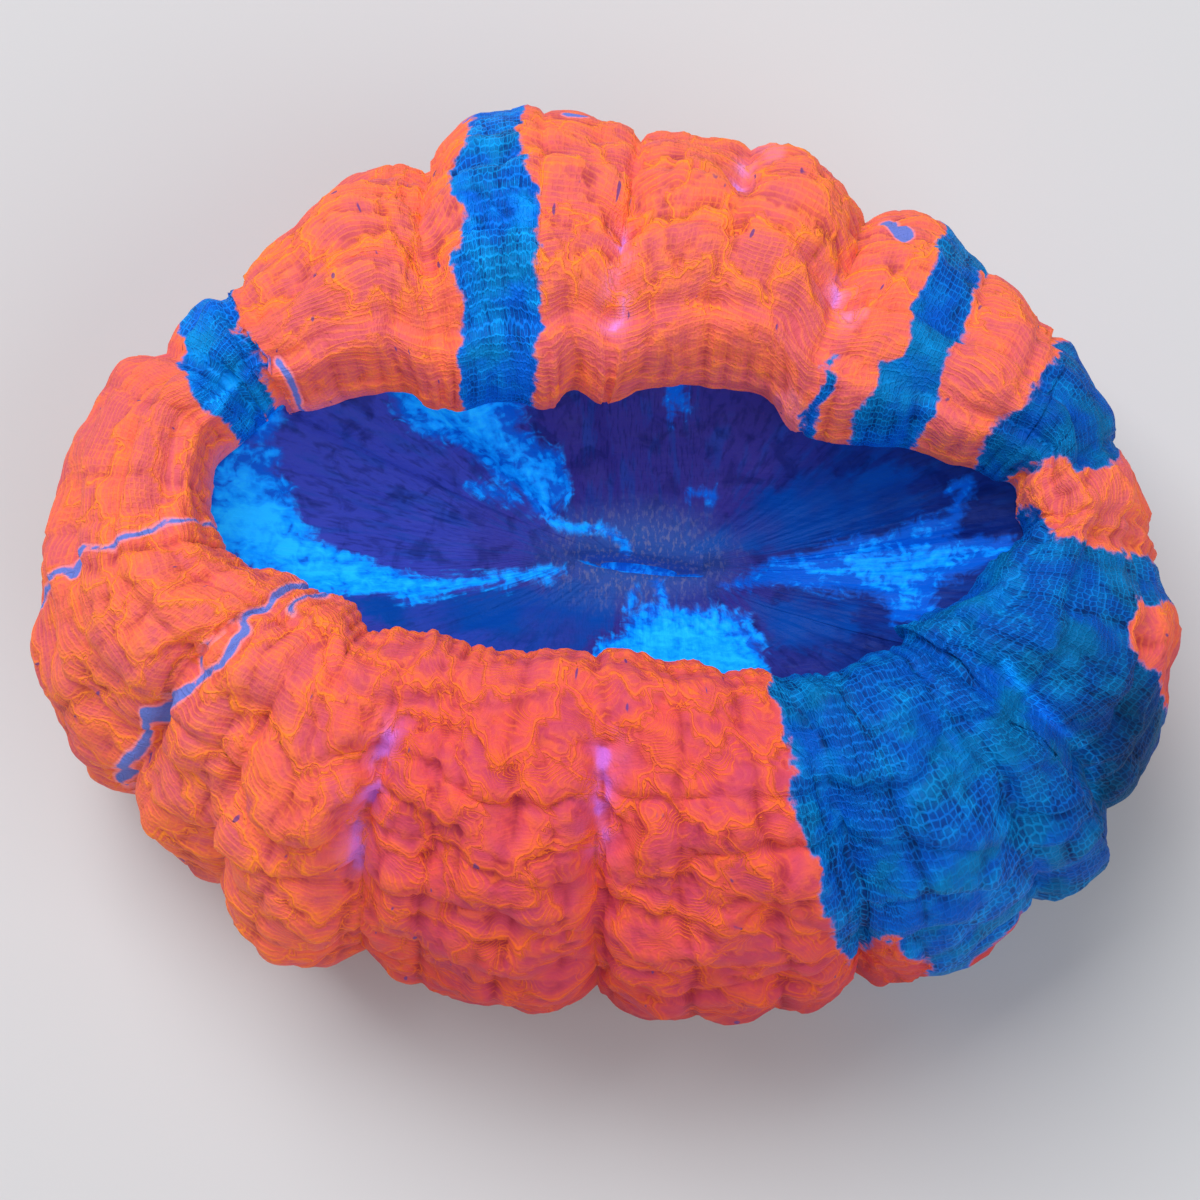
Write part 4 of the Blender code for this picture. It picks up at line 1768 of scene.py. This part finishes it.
        scaly = self.broad_height * (broad - self.scale_middle)
        scaly = scaly + self.small_height * (small - self.scale_middle)
        relief = (self.rib_height * front - 0.05) * ribs + self.column_height * front * columns
        relief = relief + rough * scaly + self.pimple_height * pimples * front
        relief = relief + (self.step_height - 0.09 * front) * (1.0 - 0.7 * blue) * steps
        relief = relief + self.bead_height * beads * np.exp(-(((along - middle) / half) ** 2))
        relief = relief - relief.mean() - self.sunk
        fade = ramp(along, *self.smooth_lip)
        grid = flesh.grid + normals_of(flesh.grid) * (relief * fade)[:, :, None]
        stands = relief - blurred(relief, 3)
        return grid, {
            Layer.CONTOUR: contour,
            Layer.EDGE: np.minimum(inside, brow + 0.8) + 2.0 * np.clip(0.6 - rough, 0.0, 1.0),
            Layer.SCALE: mark,
            # Painted highlight for the raised parts: how far the relief stands above its
            # surroundings.
            Layer.CREST_HIGHLIGHT: np.clip((stands - 0.02) / 0.20, 0.0, 1.0),
            # Painted shade for the recesses: how far the relief lies below its surroundings.
            Layer.SHADED_HOLLOW: np.clip((-stands - 0.04) / 0.22, 0.0, 1.0),
        }

    def ribs(self, turn: Grid) -> Grid:
        """The ribs that run outwards, as wide in front as at the back.

        Args:
            turn: The way round of each spoke, in radians.

        Returns:
            The height of each point, from 0 to 1.
        """
        level = np.stack([np.cos(turn), np.sin(turn)], axis=1) * self.drum
        unrolled = np.empty_like(self.flesh.base)
        unrolled[:, :, :2], unrolled[:, :, 2] = level[:, None], 0.20 * self.flesh.along[None, :]
        return np.minimum(np.abs(2.4 * noise_at(unrolled, self.rib_size, shift=5.0)), 1.0) ** 0.6

    def rough(self, blue: Grid) -> Grid:
        """How far the scales stand out: most in front and on the domed back.

        Args:
            blue: 1 in the blue tissue, which is smoother, and 0 in the orange.

        Returns:
            The share of the scales' height that each point gets.
        """
        flesh = self.flesh
        domed = ramp(flesh.along[None, :], 7.0, 13.0) * ramp(flesh.base[:, :, 1], 12.0, 20.0)
        rough = np.maximum(flesh.front - 0.12, 1.5 * domed * flesh.raised)
        return rough * (1.0 - 0.6 * blue) * (0.45 + 0.55 * flesh.raised)

    def tuck(self, grid: Grid) -> Grid:
        """The hidden rings that run from the hem to the foot and up inside to the lip.

        Args:
            grid: The mantle's shown grid, from the lip to the hem.

        Returns:
            The grid that closes it.
        """
        form = self.form
        hem, lip = grid[:, -1], grid[:, 0]
        size = np.subtract(form.high, form.low)
        offset = (hem[:, :2] - form.foot_centre) / size[:2]
        turn = np.arctan2(offset[:, 1], offset[:, 0])
        foot = np.stack([np.cos(turn), np.sin(turn)], axis=1) * form.foot_top + form.foot_centre
        halfway = (hem[:, 2].mean() + form.foot_top_height) / 2 + 0.6
        levels = (
            ((hem[:, :2] + foot) / 2, halfway),
            (foot * 0.97, form.foot_top_height),
            (foot * 0.94, 16.0),
            (lip[:, :2] * 1.04, lip[:, 2] - 5.0),
        )
        rings = [np.column_stack([level, np.full(len(hem), height)]) for level, height in levels]
        return np.stack(rings, axis=1)

    def colours(self, grid: Grid) -> dict[Layer, Grid]:
        """What each point carries for the flesh's colours.

        Args:
            grid: The mantle's shown grid.

        Returns:
            The values, by layer.
        """
        plan = self.plan(grid)
        x, y, z = np.moveaxis(grid, 2, 0)
        spots = np.clip(0.75 + 1.5 * noise_at(grid, 1.6, shift=91.0), 0.0, 1.0)
        glow = self.form.pitted(self.flesh.grid[:, :, :2])
        glow = glow ** np.where(y > 0, 3.0, 1.6)
        worn = np.clip(deepest(wandering(plan, 1.8, 0.8), self.rosy) / 0.8, 0.0, 0.4)
        # Painted highlight: a pale rosy band along the lip's edge at the left, carried in the glow
        # layer with the rosy patches.
        lips = 0.5 * ramp(self.flesh.along, 6.5, 3.5)
        worn = np.maximum(worn, lips * ramp(x, -16.0, -21.0))
        # Painted shade: darker towards the bottom of the flank, where the light falls off.
        shade = ramp(z, 33.0, 11.0) * (y < 10)
        middle = ramp(x, -27.0, -13.0)
        return {
            Layer.TONE: self.tone(plan),
            Layer.LILAC: deepest(wandering(plan, 1.6, 0.4), self.lilac),
            Layer.GLOW: np.maximum(glow * spots, worn),
            Layer.SHADE: shade * (0.25 + 0.75 * middle),
            # The front's dimming of the colour is partly the tissue's own tone and partly painted
            # shade.
            Layer.FRONT: ramp(y, -3.0, -15.0) * middle,
        }

    def tone(self, plan: Grid) -> Grid:
        """How bright the blue tissue is.

        Args:
            plan: Each point's place seen from above, in millimetres.

        Returns:
            The tone of the nearest sector, with the last one's painted ridge highlight and dark
            end.
        """
        depths = np.stack([np.clip(mark.depth(plan), -3.0, 0.0) for mark in self.teal])
        tone = np.array([mark.tone for mark in self.teal])[depths.argmax(axis=0)]
        low_end = np.linalg.norm((plan - self.low_end) / self.low_end_half, axis=-1)
        tone = tone * (1.0 - self.low_end_dim * np.exp(-(low_end**2)))
        # A painted highlight brightens the ridge in the last blue sector.
        ridge_highlight = to_segments(wandering(plan, 1.6, 0.4), self.ridge_highlight) / self.ridge_highlight_half
        return tone * (1.0 + self.ridge_highlight_gain * np.exp(-(ridge_highlight**2)))


@dataclass(frozen=True)
class OralDisc(Piece):
    """The sunken disc with its slit mouth, closed underneath.

    Attributes:
        rim: The flesh's first ring, which the disc runs under.
        rings: Rings from the mouth to the rim.
        broad_rays: How many broad rays run out from the mouth.
        fine_rays: How many fine ones run between them.
        ray_height: How high the broad rays stand.
        lump_size: How large the tissue's lumps are.
        lump_height: How high they stand.
        ripple_size: How far apart the ripples are.
        ripple_height: How high they stand.
        mouth_drop: How far the tissue drops along the mouth.
        azure: The bright blotches.
        navy: The dark patches.
        slit: The bright line in the mouth.
        sandy: The middle of the dull ground round the mouth.
        sandy_half: Half that ground's length and width.
    """

    rim: Grid
    rings: int = 74
    broad_rays: int = 92
    fine_rays: int = 147
    ray_height: float = 0.03
    lump_size: float = 2.4
    lump_height: float = 0.24
    ripple_size: float = 1.7
    ripple_height: float = 0.16
    mouth_drop: float = 0.7

    azure: tuple[Patch | Streak, ...] = (
        Patch(
            (
                (-31.0, 2.5), (-29.5, 6.0), (-28.0, 6.6), (-24.8, 6.3), (-25.6, 4.7),
                (-24.2, 3.8), (-24.6, 2.8), (-23.6, 0.3), (-22.2, -0.4), (-20.3, -1.0),
                (-18.8, -1.9), (-14.8, -2.5), (-13.4, -3.0), (-8.4, -2.4), (-3.4, -2.1),
                (-3.9, -2.9), (-8.9, -3.7), (-11.4, -3.8), (-13.3, -4.7), (-15.7, -5.3),
                (-18.1, -4.8), (-22.8, -5.2), (-28.0, -2.5), (-31.0, -1.5),
            )
        ),
        Patch(((-28.5, 8.5), (-25.0, 9.5), (-25.5, 7.0), (-27.0, 6.6))),
        Patch(
            (
                (-18.0, 11.5), (-7.0, 11.5), (-6.5, 9.6), (-6.6, 7.9), (-5.4, 7.2), (-3.9, 6.6),
                (-3.2, 4.9), (-2.9, 3.6), (-3.4, 2.9), (-4.8, 1.9), (-5.9, 2.1), (-6.9, 3.7),
                (-9.4, 5.5), (-10.9, 6.1), (-12.4, 7.2), (-14.8, 8.0), (-16.2, 8.8),
            )
        ),
        Streak(((-10.4, 4.1), (-9.0, 3.8), (-7.0, 3.4)), 0.45),
        Streak(((-4.8, 1.9), (-3.4, 1.1), (-0.4, 0.9), (0.8, 0.1), (1.2, -0.4)), 0.3),
        Patch(((3.8, 12.0), (6.2, 12.0), (5.9, 9.2), (5.0, 8.5), (4.5, 9.5))),
        Streak(((6.3, 3.4), (8.2, 3.3)), 0.35),
        Streak(((2.0, -4.2), (1.6, -5.4)), 0.35),
        Streak(((3.9, -3.4), (4.4, -4.8)), 0.3),
        Patch(
            (
                (-2.0, -12.5), (-1.8, -10.0), (-0.5, -8.4), (1.1, -7.5), (1.6, -6.1), (3.1, -4.9),
                (5.6, -5.0), (8.2, -5.2), (11.1, -6.1), (10.8, -6.8), (11.8, -7.7), (12.0, -12.5),
            )
        ),
        Patch(
            (
                (8.4, -3.8), (10.7, -2.7), (13.2, -1.4), (16.8, -0.6), (18.9, 0.2), (20.8, 0.6),
                (22.1, 0.3), (23.4, 1.2), (26.1, 1.5), (26.8, 2.6), (25.9, 2.9), (27.5, 3.9),
                (27.9, 3.2), (27.4, 1.0), (26.5, 0.0), (28.0, -0.4), (31.0, -0.6), (31.0, -2.3),
                (28.3, -3.1), (25.0, -4.2), (24.5, -7.5), (21.4, -7.0), (21.0, -5.0), (19.7, -4.6),
                (16.9, -3.9), (13.3, -3.3), (11.0, -3.7),
            )
        ),
    )
    navy: tuple[Patch, ...] = (
        Patch(
            (
                (5.7, -1.0), (10.7, 2.7), (15.5, 4.7), (23.1, 4.7), (23.7, 1.4), (18.9, 0.4),
                (12.4, -0.9),
            )
        ),
        Patch(
            (
                (11.6, -6.2), (10.7, -4.4), (14.5, -4.4), (19.0, -5.2), (19.2, -7.5), (18.5, -8.7),
                (15.3, -9.0), (12.2, -8.8),
            )
        ),
        Patch(
            (
                (-20.0, -5.2), (-13.0, -4.6), (-4.0, -3.2), (0.0, -3.4), (1.0, -6.0), (-2.0, -9.0),
                (-3.0, -12.5), (-14.0, -10.0),
            )
        ),
    )
    slit: Streak = Streak(((-1.9, -1.5), (1.6, -2.2), (7.2, -2.6)), 0.26)
    sandy: Point = (2.2, -1.4)
    sandy_half: Point = (7.5, 4.2)

    def build(self) -> bpy.types.Object:
        """The disc as one closed piece."""
        grid, turn, share = self.form.disc(self.rim, self.rings)
        grid = self.rayed(grid, turn, share)
        centre = np.array(self.form.mouth_centre)
        throat = [
            self.scaled(grid[:, 0], centre, 0.35, self.form.mouth_floor - 1.2),
            self.scaled(grid[:, 0], centre, 0.75, self.form.mouth_floor),
        ]
        under = [
            np.column_stack([self.rim[:, :2] * 1.02, self.rim[:, 2] - 1.6]),
            self.scaled(self.rim, centre, 0.5, 21.0),
        ]
        whole = np.concatenate([np.stack(throat, axis=1), grid, np.stack(under, axis=1)], axis=1)
        shell = Shell("oral_disc", self.form.in_box(whole), False)
        middle = self.form.in_box(np.array([*centre, self.form.disc_section[0][1]])) / MM
        finish = DiscFinish(tuple(float(part) for part in middle))
        return self.dress(shell.build(self.colours(whole)), finish, Slot.DISC)

    @staticmethod
    def scaled(ring: Grid, centre: Grid, share: float, height: float) -> Grid:
        """A ring drawn in towards a centre and laid level.

        Args:
            ring: The ring's points.
            centre: The centre in plan.
            share: How much of each point's distance from the centre is left.
            height: The height that the ring gets.

        Returns:
            The new ring.
        """
        level = centre + (ring[:, :2] - centre) * share
        return np.column_stack([level, np.full(len(ring), height)])

    def rayed(self, grid: Grid, turn: Grid, share: Grid) -> Grid:
        """The disc with the fine rays and wrinkles that run out from the mouth.

        Args:
            grid: The disc's points.
            turn: The way round the mouth of each spoke.
            share: Each ring's share of the way out.

        Returns:
            The wrinkled grid.
        """
        waver = 0.25 * noise_at(grid, 6.0, shift=5.0)
        rays = np.sin(self.broad_rays * (turn[:, None] + 0.08 * waver))
        rays = rays + 0.6 * np.sin(self.fine_rays * turn[:, None])
        lumps = noise_at(grid, self.lump_size, shift=41.0)
        ripples = noise_at(grid * [0.35, 1.0, 1.0], self.ripple_size, shift=67.0)
        fade = np.clip(share / 0.30, 0.0, 1.0) * np.clip((1.03 - share) / 0.1, 0.0, 1.0)
        relief = self.ray_height * rays + self.lump_height * lumps
        relief = (relief + self.ripple_height * ripples) * fade
        lips = -self.mouth_drop * np.exp(-(((share - 0.07) / 0.05) ** 2))
        grid = grid.copy()
        grid[:, :, 2] += relief + lips
        return grid

    def colours(self, grid: Grid) -> dict[Layer, Grid]:
        """What each point carries for the disc's colours.

        Args:
            grid: The whole piece's points.

        Returns:
            The values, by layer.
        """
        plan = self.plan(grid)
        x, y = plan[..., 0], plan[..., 1]
        wavered = wandering(plan, 2.0, 0.5)
        oval = np.linalg.norm((plan - self.sandy) / self.sandy_half, axis=-1)
        tone = np.clip((6.0 - x) / 8.0, -0.3, 1.0) - 0.6 * (y > 2.0)
        tone = np.maximum(tone, 0.7 * ((y < -4.5) & (np.abs(x - 5.0) < 8.0)))
        return {
            Layer.AZURE: np.maximum(deepest(wavered, self.azure), 6.0 * self.slit.depth(plan)),
            Layer.TONE: tone,
            Layer.NAVY: deepest(wavered, self.navy),
            Layer.SAND: np.clip(1.5 - 1.2 * oval, 0.0, 1.0),
        }


@dataclass(frozen=True)
class StonyFoot(Piece):
    """The ribbed foot of the cup, cut off flat.

    Attributes:
        spokes: Steps round the foot.
        rings: Rings from its top to the cut.
        peg: The share of the top's size that reaches up into the flesh, and its height.
        grain_size: How large the stone's grains are.
        grain_height: How far they stand out, as a share of the foot's size.
    """

    spokes: int = 448
    rings: int = 24
    peg: Point = (0.9, 13.0)
    grain_size: float = 1.4
    grain_height: float = 0.006

    def build(self) -> bpy.types.Object:
        """The foot as one closed piece."""
        form = self.form
        turn = np.arange(self.spokes) * 2 * math.pi / self.spokes
        level = np.stack([np.cos(turn), np.sin(turn)], axis=1)
        ribs = np.cos(form.foot_ribs * turn) + 0.35 * np.cos(2 * form.foot_ribs * turn + 0.7)
        share, height = self.peg
        rings = [np.column_stack([level * np.multiply(form.foot_top, share), 0 * turn + height])]
        for step in range(self.rings):
            down = step / (self.rings - 1)
            half = (1 - down) * np.array(form.foot_top) + down * np.array(form.foot_bottom)
            half = half - form.foot_waist * math.sin(math.pi * down)
            edge = half + (form.foot_rib_height * ribs * (1 - 0.6 * down))[:, None]
            height = np.full(self.spokes, form.foot_top_height * (1 - down))
            rings.append(np.column_stack([level * edge, height]))
        grid = np.stack(rings, axis=1)
        grid[:, :, :2] += form.foot_centre
        above_cut = grid[:, :, 2] > 0.01
        grains = self.grain_height * noise_at(grid, self.grain_size, shift=13.0) * above_cut
        grid[:, :, :2] *= (1.0 + grains)[:, :, None]
        shell = Shell("stony_foot", form.in_box(grid), False)
        return self.dress(shell.build({}), CupFinish(), Slot.CUP)


# ---------------------------------------------------------------------------------------------
# The stage
# ---------------------------------------------------------------------------------------------


@dataclass(frozen=True)
class Lamp:
    """One soft square light.

    Attributes:
        name: Its name.
        at: Where it hangs, in metres.
        size: The length of its sides, in metres.
        power: Its power in watts.
    """

    name: str
    at: Place
    size: float
    power: float


@dataclass(frozen=True)
class Studio:
    """The floor, the soft lights and the camera above the coral, in metres.

    Attributes:
        aim: The point that the camera looks at.
        tilt: The camera's lean from straight overhead, towards the front.
        distance: How far it is from the point.
        lens: Its focal length in millimetres.
        sensor: Its sensor's width in millimetres.
        lamps: The lights.
        sky: The colour of the light from all round.
        sky_strength: How strong that light is.
        floor_radius: How far the floor reaches.
    """

    aim: Vector
    tilt: float = math.radians(10.0)
    distance: float = 0.1900
    lens: float = 72.0
    sensor: float = 36.0
    lamps: tuple[Lamp, ...] = (
        Lamp("key_light", (-0.22, 0.30, 0.62), size=0.45, power=4.4),
        Lamp("fill_light", (0.40, -0.35, 0.50), size=0.60, power=1.8),
    )
    sky: Colour = (0.9, 0.93, 1.0)
    sky_strength: float = 0.30
    floor_radius: float = 2.5

    def floor(self) -> None:
        """A plain pale floor."""
        work = bmesh.new()
        bmesh.ops.create_circle(work, cap_ends=True, segments=64, radius=self.floor_radius)
        mesh = bpy.data.meshes.new("floor")
        work.to_mesh(mesh)
        work.free()
        mesh.materials.append(PlainFinish().material())
        made = bpy.data.objects.new("floor", mesh)
        bpy.context.scene.collection.objects.link(made)
        made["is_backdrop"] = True

    def hang(self, lamp: Lamp) -> None:
        """Hangs a light and aims it at the coral.

        Args:
            lamp: The light.
        """
        light = bpy.data.lights.new(lamp.name, "AREA")
        light.shape = "SQUARE"
        light.size = lamp.size
        light.energy = lamp.power
        made = bpy.data.objects.new(lamp.name, light)
        made.location = lamp.at
        made.rotation_euler = (self.aim - Vector(lamp.at)).to_track_quat("-Z", "Y").to_euler()
        bpy.context.scene.collection.objects.link(made)

    def camera(self) -> None:
        """The camera, nearly overhead."""
        lens = bpy.data.cameras.new("camera")
        lens.lens = self.lens
        lens.sensor_width = self.sensor
        lens.clip_start = 0.01
        made = bpy.data.objects.new("camera", lens)
        back = Vector((0.0, -math.sin(self.tilt), math.cos(self.tilt)))
        made.location = self.aim + back * self.distance
        made.rotation_euler = (-back).to_track_quat("-Z", "Y").to_euler()
        bpy.context.scene.collection.objects.link(made)
        bpy.context.scene.camera = made

    def build(self) -> None:
        """Builds the whole stage."""
        self.floor()
        for lamp in self.lamps:
            self.hang(lamp)
        world = bpy.data.worlds.new("studio")
        world.use_nodes = True
        light = world.node_tree.nodes["Background"].inputs
        light["Color"].default_value = (*self.sky, 1.0)
        light["Strength"].default_value = self.sky_strength
        bpy.context.scene.world = world
        bpy.context.scene.view_settings.view_transform = "Standard"
        self.camera()


def corners() -> list[list[float]]:
    """The shown object's lowest and highest corners, as plain lists."""
    return [list(corner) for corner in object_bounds()]


def main() -> None:
    """Builds the coral and its stage, and reports each piece."""
    logging.basicConfig(level=logging.INFO, format="%(name)s: %(message)s")
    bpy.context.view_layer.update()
    low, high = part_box(NODE)
    form = CoralForm(tuple(low), tuple(high))
    flesh = form.ring(spacing=0.33, crown=124, skirt=10, drop=6.5)
    for maker in (Mantle(form, flesh), OralDisc(form, flesh.grid[:, 0]), StonyFoot(form)):
        piece = maker.build()
        faces = sum(len(face.vertices) - 2 for face in piece.data.polygons)
        LOG.info("%s: %d triangles", piece.name, faces)
    aim = form.in_box(np.array([0.0, -2.7, 20.0]))
    Studio(Vector(aim)).build()


if __name__ == "__main__":
    main()
